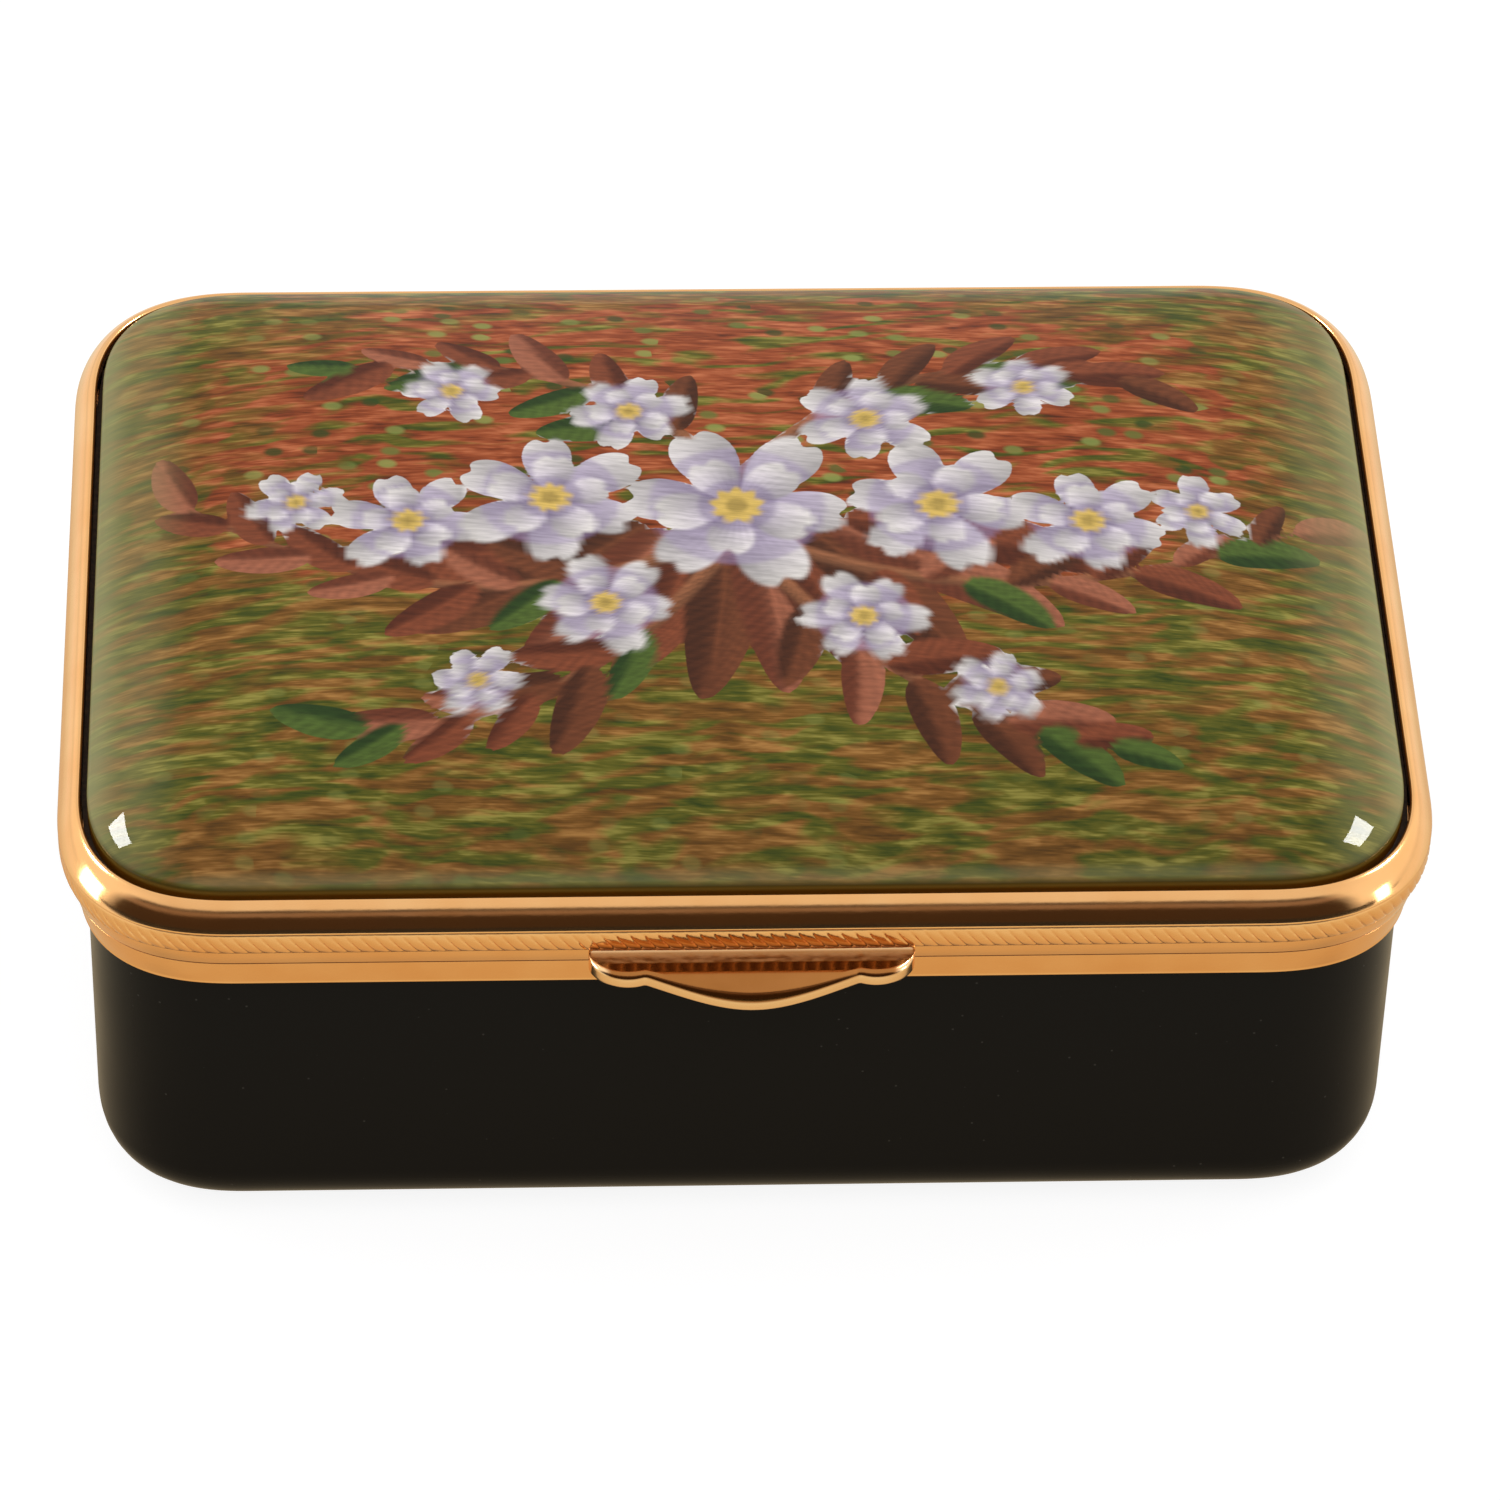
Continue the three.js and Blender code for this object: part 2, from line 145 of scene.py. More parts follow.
# Thumb-piece
THUMB_WIDTH = 21.1
THUMB_THICKNESS = 1.3
THUMB_BELOW_ROPE = 0.2
THUMB_SHELF = 1.88
THUMB_CURL_RADIUS = 2.13
THUMB_CENTRE_REACH = 3.59
THUMB_NOTCH_REACH = 2.02
THUMB_NOTCH_X = 6.9
THUMB_LOBE_REACH = 2.2
THUMB_LOBE_RADIUS_X = 2.55
THUMB_EDGE_ROUND = 0.42
THUMB_EDGE_SHARE = 0.4
THUMB_LEAST_REACH = 0.02
THUMB_FILLET_RUN = 0.62
THUMB_FILLET_RISE = 0.235
# Brighter gold on the thumb-piece: at the fillet a buffed edge that is partly a painted highlight, at the
# ends a painted glint
THUMB_POLISH_AND_GLINT_RUN = 0.2
THUMB_GLINT_END = 1.2
THUMB_GLINT_FROM = 0.75
THUMB_SCUFFED_RUN = 0.95
THUMB_HOLLOW_AT = 1.05
THUMB_HOLLOW = 0.058
THUMB_COLUMNS = 161
THUMB_DEPTH_STEPS = 60
THUMB_EDGE_STEPS = 4

# Hinge
HINGE_LENGTH = 26.0
KNUCKLE_COUNT = 5
KNUCKLE_END_GAP = 0.12
KNUCKLE_RADIUS = 1.2
KNUCKLE_END_BREAK = 0.08
KNUCKLE_END_SHARE = 0.12
PIN_RADIUS = 0.5
PIN_CLEARANCE = 0.05
PIN_END_ROUND = 0.2
FOOT_OFFSET = 0.35
LEAF_PROUD = 0.1
KNUCKLE_STANDOFF = 0.15
LEAF_FACE = BOX_DEPTH / 2 + LEAF_PROUD
AXIS_Y = LEAF_FACE + KNUCKLE_RADIUS + KNUCKLE_STANDOFF
AXIS_Z = (RIM_TOP + LID_BOTTOM) / 2

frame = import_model()


def squared(value):
    """Cosine or sine drawn out by the power 2 / squareness, so that a quarter turn is squarer than a
    circle's."""
    return np.sign(value) * np.abs(value) ** (2 / CORNER_SQUARENESS)


def soft_step(value, width):
    """0 below minus half the width, 1 above half the width, and smooth between."""
    t = np.clip(value / width + 0.5, 0, 1)
    return t * t * (3 - 2 * t)


def walk(corner_steps, side_steps):
    """One walk round a rounded rectangle: an angle and two signs. On a corner the angle turns a quarter,
    slowly at both ends so that the squared corner's points lie evenly, while the signs stay. On a side the
    angle stays while one sign runs from end to end."""
    corners = np.array([(1, 1), (-1, 1), (-1, -1), (1, -1)], float)
    share = np.arange(corner_steps) / corner_steps
    ease = CORNER_SQUARENESS / 2
    turn = share**ease / (share**ease + (1 - share) ** ease)
    along = np.arange(side_steps) / side_steps
    quarter = np.arange(4)[:, None]
    angle = np.concatenate([quarter + turn, quarter + 1 + 0 * along], axis=1) * np.pi / 2
    here = corners[:, None, :]
    after = np.roll(corners, -1, axis=0)[:, None, :]
    signs = np.concatenate([here + 0 * turn[:, None], here + (after - here) * along[:, None]], axis=1)
    return angle.ravel(), signs[..., 0].ravel(), signs[..., 1].ravel()


def rounded_rectangles(path, half_x, half_y, radius, height):
    """Rows of points on rounded rectangles: the corner's centre plus its radius times the squared cosine and
    sine of the walk's angle, one row for each half size, radius and height."""
    angle, sign_x, sign_y = path
    half_x, half_y, radius, height = (
        np.atleast_1d(value)[:, None] for value in np.broadcast_arrays(half_x, half_y, radius, height))
    x = sign_x * (half_x - radius) + radius * squared(np.cos(angle))
    y = sign_y * (half_y - radius) + radius * squared(np.sin(angle))
    return np.stack([x, y, height + 0 * x], axis=-1)


def outlines(path, inset, height):
    """Rows of points on the box's outline, drawn in by each inset at each height."""
    inset, height = np.asarray(inset, float), np.asarray(height, float)
    radius = np.maximum(OUTLINE_RADIUS - inset, SMALLEST_RADIUS)
    return rounded_rectangles(path, BOX_LENGTH / 2 - inset, BOX_DEPTH / 2 - inset, radius, height)


def rounded_section(corners, breaks, steps=5):
    """A closed section whose corners are each a parabola arc, from the break's length before the corner to
    the same length after it."""
    corners = np.asarray(corners, float)
    breaks = np.broadcast_to(breaks, len(corners))[:, None, None]

    def towards(other):
        """Unit vectors from the corners to the other ones."""
        step = other - corners
        return (step / np.linalg.norm(step, axis=1, keepdims=True))[:, None, :]

    before, after = towards(np.roll(corners, 1, axis=0)), towards(np.roll(corners, -1, axis=0))
    t = np.linspace(0, 1, steps)[None, :, None]
    corner = corners[:, None, :]
    start, end = corner + before * breaks, corner + after * breaks
    return ((1 - t) ** 2 * start + 2 * t * (1 - t) * corner + t**2 * end).reshape(-1, 2)


def quads(rows, columns, rows_close):
    """Four-cornered faces of a grid whose columns close on themselves, and whose rows may."""
    count = rows if rows_close else rows - 1
    row, column = np.meshgrid(np.arange(count), np.arange(columns), indexing="ij")
    here, above = row * columns, (row + 1) % rows * columns
    beside = (column + 1) % columns
    return np.stack([here + column, here + beside, above + beside, above + column], axis=-1).reshape(-1, 4)


def fan(ring, apex):
    """Three-cornered faces from each side of a ring of points to one apex."""
    return np.stack([ring, np.roll(ring, -1), np.full(len(ring), apex)], axis=-1)


def closed_volume(points, faces):
    """Sum over the fan triangles of each face of corner, dot, corner cross corner."""
    total = 0.0
    for group in faces:
        first = points[group[:, 0]]
        for k in range(1, group.shape[1] - 1):
            total += np.einsum("ij,ij->", first, np.cross(points[group[:, k]], points[group[:, k + 1]]))
    return total


def solid(name, points, faces, sharp_angle=40):
    """A closed mesh from points in millimetres and groups of faces, turned outwards and shaded smooth up to
    the sharp angle."""
    points = np.asarray(points, float).reshape(-1, 3)
    if closed_volume(points, faces) < 0:
        faces = [group[:, ::-1] for group in faces]
    corners = np.concatenate([group.ravel() for group in faces]).astype(np.int32)
    counts = np.concatenate([np.full(len(group), group.shape[1]) for group in faces])
    starts = np.concatenate([[0], np.cumsum(counts)[:-1]]).astype(np.int32)
    mesh = bpy.data.meshes.new(name)
    mesh.vertices.add(len(points))
    mesh.vertices.foreach_set("co", (points * MM).astype(np.float32).ravel())
    mesh.loops.add(len(corners))
    mesh.loops.foreach_set("vertex_index", corners)
    mesh.polygons.add(len(counts))
    mesh.polygons.foreach_set("loop_start", starts)
    mesh.update(calc_edges=True)
    mesh.shade_smooth()
    mesh.set_sharp_from_angle(angle=np.radians(sharp_angle))
    made = bpy.data.objects.new(name, mesh)
    bpy.context.scene.collection.objects.link(made)
    return made


def ring(name, section, steps=PLAIN_STEPS):
    """A section carried round the outline and closed on itself."""
    section = np.asarray(section)
    points = outlines(walk(*steps), section[:, 0], section[:, 1])
    return solid(name, points, [quads(*points.shape[:2], True)])


def capped_stack(name, rows, first_pole, last_pole, sharp_angle=40):
    """Rows of points joined one to the next, with a pole that closes each end."""
    count, columns = rows.shape[:2]
    points = np.concatenate([rows.reshape(-1, 3), [first_pole, last_pole]])
    ring_ids = np.arange(columns)
    low = fan(ring_ids[::-1], count * columns)
    high = fan((count - 1) * columns + ring_ids, count * columns + 1)
    return solid(name, points, [quads(count, columns, False), np.concatenate([low, high])], sharp_angle)


def dish_rows(path, depth):
    """Rows of the body's shell face at a depth inside its outer face: the wall, then a foot whose inset and
    height follow one minus cosine and one minus sine of a quarter turn."""
    radius = max(FOOT_RADIUS - depth, SMALLEST_RADIUS)
    angle = np.linspace(0, np.pi / 2, FOOT_STEPS)
    inset = BODY_INSET + depth + radius * (1 - np.cos(angle))
    height = depth + radius * (1 - np.sin(angle))
    wall = np.linspace(WALL_HEIGHT, height[0], WALL_STEPS + 1)[:-1]
    inset = np.concatenate([np.full(len(wall), BODY_INSET + depth), inset, FLOOR_INSETS])
    height = np.concatenate([wall, height, np.full(len(FLOOR_INSETS), depth)])
    return outlines(path, inset, height)


def dish_layer(name, depth, thickness):
    """One fired layer of the body: its outer face from floor to mouth, then its inner face back to the
    floor."""
    path = walk(*PLAIN_STEPS)
    rows = np.concatenate([dish_rows(path, depth)[::-1], dish_rows(path, depth + thickness)])
    return capped_stack(name, rows, (0, 0, depth), (0, 0, depth + thickness))


def dome_height(share):
    """Rise of the dome at a share of the way from edge to middle."""
    return DOME_RISE * (1 - (1 - share) ** DOME_FULLNESS) ** (1 / DOME_EDGE_ROUNDNESS)


def dome_half_length(share, half_x, half_y):
    """Half length of the level at that share: parallel to the edge at first, then drawn in to the middle."""
    return half_x - share * half_y - (half_x - half_y) * share**DOME_LENGTH_SPREAD


def even_shares(count, half_x, half_y):
    """Shares whose levels lie evenly along the lid's length, closer together at the rounded edge."""
    dense = np.linspace(0, 1, 2001)
    extra = EDGE_CROWDING * (1 - np.exp(-dense * EDGE_CROWDING_RATE))
    length = half_x - dome_half_length(dense, half_x, half_y) + extra
    return np.interp(np.linspace(0, length[-1], count), length, dense)[:-1]


def cap_rows(path, depth, count):
    """Rows of the lid cap's face at a depth inside its outer face: the foot, then the dome's levels."""
    half_x = BOX_LENGTH / 2 - CAP_INSET - depth
    half_y = BOX_DEPTH / 2 - CAP_INSET - depth
    edge = max(OUTLINE_RADIUS - CAP_INSET - depth, SMALLEST_RADIUS) / half_y
    share = even_shares(count, half_x, half_y)
    level_y = half_y * (1 - share)
    radius = level_y * (edge + (1 - edge) * share)
    height = CAP_WALL_TOP - depth + dome_height(share)
    foot = rounded_rectangles(path, half_x, half_y, edge * half_y, SEAT_HEIGHT)
    dome = rounded_rectangles(path, dome_half_length(share, half_x, half_y), level_y, radius, height)
    return np.concatenate([foot, dome])


def cap_layer(name, depth, thickness, steps, outer_count, inner_count):
    """One fired layer of the lid: its inner face from crown to foot, then its outer face back to the
    crown."""
    path = walk(*steps)
    inner_face = cap_rows(path, depth + thickness, inner_count)[::-1]
    rows = np.concatenate([inner_face, cap_rows(path, depth, outer_count)])
    crown = CAP_WALL_TOP + DOME_RISE
    return capped_stack(name, rows, (0, 0, crown - depth - thickness), (0, 0, crown - depth))


def moulding_section():
    """A convex arch as (inset, height) points. Outside it follows powers of the cosine and sine, from a steep
    start to a level crest, and inside it falls by a quarter round."""
    turn = np.radians(np.linspace(MOULDING_START, 90, MOULDING_ARCH_STEPS))
    across, up = np.cos(turn) ** MOULDING_FLATNESS, np.sin(turn) ** MOULDING_FLATNESS
    foot = SEAT_HEIGHT + MOULDING_FOOT
    crest = SEAT_HEIGHT + MOULDING_RISE
    outside = np.stack([MOULDING_CREST_INSET * (1 - across / across[0]),
                        foot + (crest - foot) * (up - up[0]) / (1 - up[0])], axis=1)
    radius = MOULDING_WIDTH - MOULDING_CREST_INSET
    quarter = np.linspace(0, np.pi / 2, MOULDING_FALL_STEPS + 1)[1:]
    inside = np.stack([MOULDING_CREST_INSET + radius * np.sin(quarter),
                       crest - radius * (1 - np.cos(quarter))], axis=1)
    start, end = (MOULDING_FOOT_INSET, SEAT_HEIGHT), (MOULDING_WIDTH, SEAT_HEIGHT)
    return np.concatenate([[start], outside, inside, [end]])


def rope_inset(height):
    """Inset of the rope band's round face: a parabola each way from where it is widest."""
    upper = SEAT_HEIGHT - ROPE_BOTTOM - ROPE_WIDEST_HEIGHT
    below = height < ROPE_WIDEST_HEIGHT
    share = (height - ROPE_WIDEST_HEIGHT) / np.where(below, ROPE_WIDEST_HEIGHT, upper)
    return np.where(below, ROPE_BOTTOM_INSET, ROPE_TOP_INSET) * share**2


def milled_rope():
    """The rope band's section carried round the outline on leaning lines, at even lengths along it. Each cut
    is a narrow notch, and its place shifts along the band by the lean times the height's share."""
    fine = walk(*ROPE_STEPS)
    edge = outlines(fine, 0.0, 0.0)[0, :, :2]
    step = np.linalg.norm(np.roll(edge, -1, axis=0) - edge, axis=1)
    run = np.concatenate([[0], np.cumsum(step)])
    length = run[-1]
    pitch = length / ROPE_CUTS
    in_cut = np.array([-0.2, -0.11, 0.0, 0.11, 0.2, 0.5])
    depth_in_cut = np.array([0.0, 0.3, 1.0, 0.3, 0.0, 0.0])
    place = (np.arange(ROPE_CUTS)[:, None] + in_cut) * pitch
    depth = np.broadcast_to(depth_in_cut, place.shape).ravel() * ROPE_CUT_DEPTH
    rise = SEAT_HEIGHT - ROPE_BOTTOM
    height = np.array([0.0, 0.05, 0.16, 0.5, 0.85, 1.15, 1.35, 1.6, 1.78, 1.86])
    fade = np.array([0.0, 0.5, 1.0, 1.0, 1.0, 0.8, 0.3, 0.0, 0.0, 0.0])
    rounding = np.array([0.07, 0.02, 0.0, 0.0, 0.0, 0.0, 0.0, 0.0, 0.0, 0.02])
    inset = (rope_inset(height) + rounding)[:, None] + fade[:, None] * depth
    back = STEM_INSET - SEAT_GAP
    inset = np.concatenate([inset, np.full((2, inset.shape[1]), back)])
    height = np.concatenate([height, [rise, 0.0]])
    lean = ROPE_CUT_LEAN * height[:, None] / rise
    at = (place.ravel() - lean) % length
    ends = 2 * np.pi + fine[0][0], fine[1][0], fine[2][0]
    angle, sign_x, sign_y = (np.interp(at, run, np.append(values, end)) for values, end in zip(fine, ends))
    radius = OUTLINE_RADIUS - inset
    x = sign_x * (BOX_LENGTH / 2 - inset - radius) + radius * squared(np.cos(angle))
    y = sign_y * (BOX_DEPTH / 2 - inset - radius) + radius * squared(np.sin(angle))
    points = np.stack([x, y, ROPE_BOTTOM + height[:, None] + 0 * x], axis=-1)
    return solid("rope_band_milled", points, [quads(*points.shape[:2], True)], sharp_angle=60)


def thumb_reach(x):
    """Plan reach beyond the rope band's lower edge: a parabola between the notches, and outside each notch an
    oval lobe. Where both reach, the greater one counts."""
    share = x / THUMB_NOTCH_X
    arc = THUMB_NOTCH_REACH + (THUMB_CENTRE_REACH - THUMB_NOTCH_REACH) * (1 - share**2)
    lobe_x = (np.abs(x) - (THUMB_WIDTH / 2 - THUMB_LOBE_RADIUS_X)) / THUMB_LOBE_RADIUS_X
    lobe = THUMB_LOBE_REACH * np.sqrt(np.clip(1 - lobe_x**2, 0, None))
    return np.where(np.abs(x) < THUMB_NOTCH_X, np.maximum(arc, lobe), lobe)


def thumb_drop(reach):
    """Fall of the thumb-piece's top: level over the shelf, then along a circle."""
    along = np.clip(reach - THUMB_SHELF, 0, THUMB_CURL_RADIUS)
    return THUMB_CURL_RADIUS - np.sqrt(THUMB_CURL_RADIUS**2 - along**2)


def thumb_hollow(reach):
    """Height of the thumb-piece's top over its level: a fillet that falls by a parabola from the rope
    band, and another parabola that sinks to the bottom of the shelf's hollow and comes back up to the
    curl's crest."""
    fillet = THUMB_FILLET_RISE * np.clip(1 - reach / THUMB_FILLET_RUN, 0, 1) ** 2
    rise = np.clip((reach - THUMB_HOLLOW_AT) / (THUMB_SHELF - THUMB_HOLLOW_AT), 0, 1) ** 2
    return fillet + THUMB_HOLLOW * (rise - 1)


def thumb_piece():
    """Columns across the width, each a closed loop: out along the top, round the edge and back underneath.
    The edge's corners are quarter rounds of one small radius."""
    x = -np.cos(np.linspace(0, np.pi, THUMB_COLUMNS)) * THUMB_WIDTH / 2
    reach = thumb_reach(x)[:, None]
    level = ROPE_BOTTOM - THUMB_BELOW_ROPE
    slope = (STRIP_TOP_INSET - STRIP_BOTTOM_INSET) / (ROPE_BOTTOM - LID_BOTTOM)

    def face(depth, shares):
        """Reach of points at a depth, at shares of the way from the strip to the edge."""
        strip = STRIP_BOTTOM_INSET + slope * max(level - depth - LID_BOTTOM, 0)
        start = ROPE_BOTTOM_INSET - strip + SEAT_GAP
        return start + (reach - start) * shares

    def loop_part(out, depth):
        """Points at a reach from the band, and at a depth below the top."""
        lift = thumb_hollow(np.maximum(out, 0)) * np.clip(reach, 0, 1)
        height = level - thumb_drop(out) - depth + lift
        return np.stack([x[:, None] + 0 * out, ROPE_BOTTOM_INSET - BOX_DEPTH / 2 - out, height], axis=-1)

    shares = np.linspace(0, 1, THUMB_DEPTH_STEPS)
    top, under = face(0, shares), face(THUMB_THICKNESS, shares[::-1])
    top_end, under_end = top[:, -1:], under[:, :1]
    roundness = np.minimum(THUMB_EDGE_ROUND, np.maximum(reach, THUMB_LEAST_REACH) * THUMB_EDGE_SHARE)
    turn = np.linspace(0, np.pi / 2, THUMB_EDGE_STEPS + 2)[1:-1]
    edge_back, edge_down = roundness * (1 - np.sin(turn)), roundness * (1 - np.cos(turn))
    rows = np.concatenate([
        loop_part(np.minimum(top, top_end - roundness), 0),
        loop_part(top_end - edge_back, edge_down),
        loop_part(top_end, roundness),
        loop_part(under_end, THUMB_THICKNESS - roundness),
        loop_part(under_end - edge_back[:, ::-1], THUMB_THICKNESS - edge_down[:, ::-1]),
        loop_part(np.minimum(under, under_end - roundness), THUMB_THICKNESS),
    ], axis=1)
    piece = capped_stack("thumb_piece_curled", rows, rows[0].mean(axis=0), rows[-1].mean(axis=0), 50)
    polish_and_glint, scuffs = thumb_finish(x, top, rows.shape[1])
    keep_values(piece, "polish_and_glint", polish_and_glint)
    keep_values(piece, "scuffs", scuffs)
    return piece


def thumb_finish(x, top, loop_length):
    """The polish attribute is 1 on the edge, at the fillet and on the front of both ends, where the gold is
    brighter: a buffed edge and fillet that are partly a painted highlight, and on the ends a painted glint
    where the lamps' glints fall. Scuffs are 1 on the rear half of the shelf between them. Both have a value
    for each point of each loop, which starts with the top."""
    count = top.shape[1]
    polish_and_glint, scuffs = np.zeros((len(x), loop_length)), np.zeros((len(x), loop_length))
    polish_and_glint[:, count + THUMB_EDGE_STEPS:-count] = 1
    polish_and_glint[:, :count] = np.clip(1 - top / THUMB_POLISH_AND_GLINT_RUN, 0, 1)
    behind, before = top - THUMB_POLISH_AND_GLINT_RUN, THUMB_SCUFFED_RUN - top
    scuffs[:, :count] = soft_step(behind, width=0.2) * soft_step(before, width=0.25)
    # Painted glint: brighter gold on the front of both ends, where the side lamps' glints fall
    glint_near_end = soft_step(np.abs(x) - THUMB_WIDTH / 2 + THUMB_GLINT_END, width=0.5)
    ends = glint_near_end[:, None] * np.ones_like(polish_and_glint)
    ends[:, :count] *= soft_step(top - THUMB_GLINT_FROM, width=0.4)
    return np.maximum(polish_and_glint, ends), scuffs * (1 - ends)


def keep_values(piece, name, values):
    """Keeps one value for each point of a capped stack as an attribute, with 0 for its two poles."""
    attribute = piece.data.attributes.new(name, "FLOAT", "POINT")
    attribute.data.foreach_set("value", np.append(values.ravel(), [0.0, 0.0]).astype(np.float32))


def knuckle(name, place, side):
    """A tube round the pin with a foot on its leaf, drawn in the YZ plane as two loops of equal length and
    carried along the pin, with both ends' corners taken off."""
    count = 72
    foot_start = np.pi - np.arcsin(FOOT_OFFSET / KNUCKLE_RADIUS)
    angle = side * np.linspace(foot_start, 2.5 * np.pi, count - 2)

    def round_axis(radius, turned):
        """Points on a circle round the pin's axis."""
        return np.stack([AXIS_Y + radius * np.cos(turned), AXIS_Z + radius * np.sin(turned)], axis=1)

    foot = np.array([[LEAF_FACE, AXIS_Z + side * KNUCKLE_RADIUS], [LEAF_FACE, AXIS_Z + side * FOOT_OFFSET]])
    outside = np.concatenate([round_axis(KNUCKLE_RADIUS, angle), foot])
    bore = round_axis(PIN_RADIUS + PIN_CLEARANCE, np.arctan2(outside[:, 1] - AXIS_Z, outside[:, 0] - AXIS_Y))
    pitch = HINGE_LENGTH / KNUCKLE_COUNT
    low = -HINGE_LENGTH / 2 + place * pitch + KNUCKLE_END_GAP / 2
    high = low + pitch - KNUCKLE_END_GAP
    inner = outside + (bore - outside) * KNUCKLE_END_SHARE
    loops = [
        (inner, low), (outside, low + KNUCKLE_END_BREAK), (outside, high - KNUCKLE_END_BREAK), (inner, high),
        (bore, high), (bore, low)]
    points = np.stack([np.column_stack([np.full(count, x), loop]) for loop, x in loops])
    return solid(name, points, [quads(*points.shape[:2], True)])


def spun(name, profile, centre, axis):
    """A profile of (radius, distance along the axis) points turned about the axis, X or Y, with poles at its
    ends."""
    sides = 48
    angle = np.arange(sides) * 2 * np.pi / sides
    radius, along = np.asarray(profile, float).T
    across = radius[1:-1, None] * np.cos(angle), radius[1:-1, None] * np.sin(angle)
    along_rows = along[1:-1, None] + 0 * angle
    order = (along_rows, *across) if axis == "X" else (across[0], along_rows, across[1])
    rows = np.stack(order, axis=-1) + centre
    poles = [np.add(centre, (d, 0, 0) if axis == "X" else (0, d, 0)) for d in (along[0], along[-1])]
    return capped_stack(name, rows, *poles)


def round_ended(radius, half_length, end_round):
    """Profile of a rod with quarter-round end corners."""
    turn = np.linspace(0, np.pi / 2, 5)
    end_radius = radius - end_round * (1 - np.sin(turn))
    end_along = half_length - end_round * (1 - np.cos(turn))
    low = np.column_stack([end_radius, -end_along])
    high = np.column_stack([end_radius[::-1], end_along[::-1]])
    return np.concatenate([[(0, -half_length)], low, high, [(0, half_length)]])


def add(tree, kind, inputs=None, **settings):
    """Adds a node, sets its options, and feeds each input with a value or with another node's output."""
    made = tree.nodes.new(kind)
    for key, value in settings.items():
        setattr(made, key, value)
    for key, value in (inputs or {}).items():
        if isinstance(value, bpy.types.NodeSocket):
            tree.links.new(value, made.inputs[key])
        else:
            made.inputs[key].default_value = value
    return made


def srgb(red, green, blue):
    """A colour given as screen values from 0 to 255, as linear values."""
    value = np.array([red, green, blue]) / 255
    linear = np.where(value <= 0.04045, value / 12.92, ((value + 0.055) / 1.055) ** 2.4)
    return (*(float(v) for v in linear), 1.0)


def math_node(tree, operation, *values, clamp=False):
    """Output of a math node on values or on other nodes' outputs."""
    inputs = dict(enumerate(values))
    return add(tree, "ShaderNodeMath", inputs, operation=operation, use_clamp=clamp).outputs[0]


def vector_node(tree, operation, *values, output=0):
    """One output of a vector math node on vectors or on other nodes' outputs."""
    return add(tree, "ShaderNodeVectorMath", dict(enumerate(values)), operation=operation).outputs[output]


def mix_colour(tree, factor, first, second, blend="MIX"):
    """The first colour at factor 0 and the second at 1, or the two joined by another blend."""
    made = add(tree, "ShaderNodeMix", {0: factor, 6: first, 7: second}, data_type="RGBA", blend_type=blend)
    return made.outputs[2]


def ramp(tree, factor, stops, interpolation="LINEAR"):
    """A colour ramp of (place, colour) stops."""
    made = add(tree, "ShaderNodeValToRGB", {0: factor})
    made.color_ramp.interpolation = interpolation
    elements = made.color_ramp.elements
    while len(elements) < len(stops):
        elements.new(0.5)
    for element, (place, colour) in zip(elements, stops):
        element.position = place
        element.color = colour
    return made.outputs[0]


def grey(value):
    """A grey as a colour without transparency."""
    return (value, value, value, 1.0)


def between(tree, value, low, high):
    """0 up to the low value, 1 from the high value on, and straight between."""
    return ramp(tree, value, [(low, grey(0)), (high, grey(1))])


def millimetres(tree, scale=(1, 1, 1), turn=0.0, place=(0, 0, 0)):
    """Object coordinates in millimetres, divided by a scale, so that a pattern's cell is that many
    millimetres."""
    coordinate = add(tree, "ShaderNodeTexCoord").outputs["Object"]
    factors = tuple(1000.0 / s for s in scale)
    turned = add(tree, "ShaderNodeMapping", {"Vector": coordinate, "Rotation": (0, 0, turn)}).outputs[0]
    return add(tree, "ShaderNodeMapping", {"Vector": turned, "Scale": factors, "Location": place}).outputs[0]


def noise(tree, vector, detail=2.0, roughness=0.5, output="Fac"):
    """A noise whose cells are about one unit of the vector."""
    inputs = {"Vector": vector, "Scale": 1.0, "Detail": detail, "Roughness": roughness}
    return add(tree, "ShaderNodeTexNoise", inputs).outputs[output]


def cells(tree, vector, inputs=None, **settings):
    """A cell pattern's node. Its cells are about one unit of the vector."""
    return add(tree, "ShaderNodeTexVoronoi", {"Vector": vector, "Scale": 1.0, **(inputs or {})}, **settings)


def new_material(name, base, roughness, **sockets):
    """A material with its tree and its shader. A socket's name has underscores for its spaces."""
    material = bpy.data.materials.new(name)
    material.use_nodes = True
    tree = material.node_tree
    shader = tree.nodes["Principled BSDF"]
    for key, value in {"Base Color": base, "Roughness": roughness, **sockets}.items():
        shader.inputs[key.replace("_", " ")].default_value = value
    return material, tree, shader


def bump(tree, shader, height, distance_mm, socket="Normal"):
    """Feeds a shader's normal with a height pattern, at so many millimetres for a height of 1."""
    made = add(tree, "ShaderNodeBump", {"Height": height, "Distance": distance_mm * MM, "Strength": 1.0})
    tree.links.new(made.outputs[0], shader.inputs[socket])


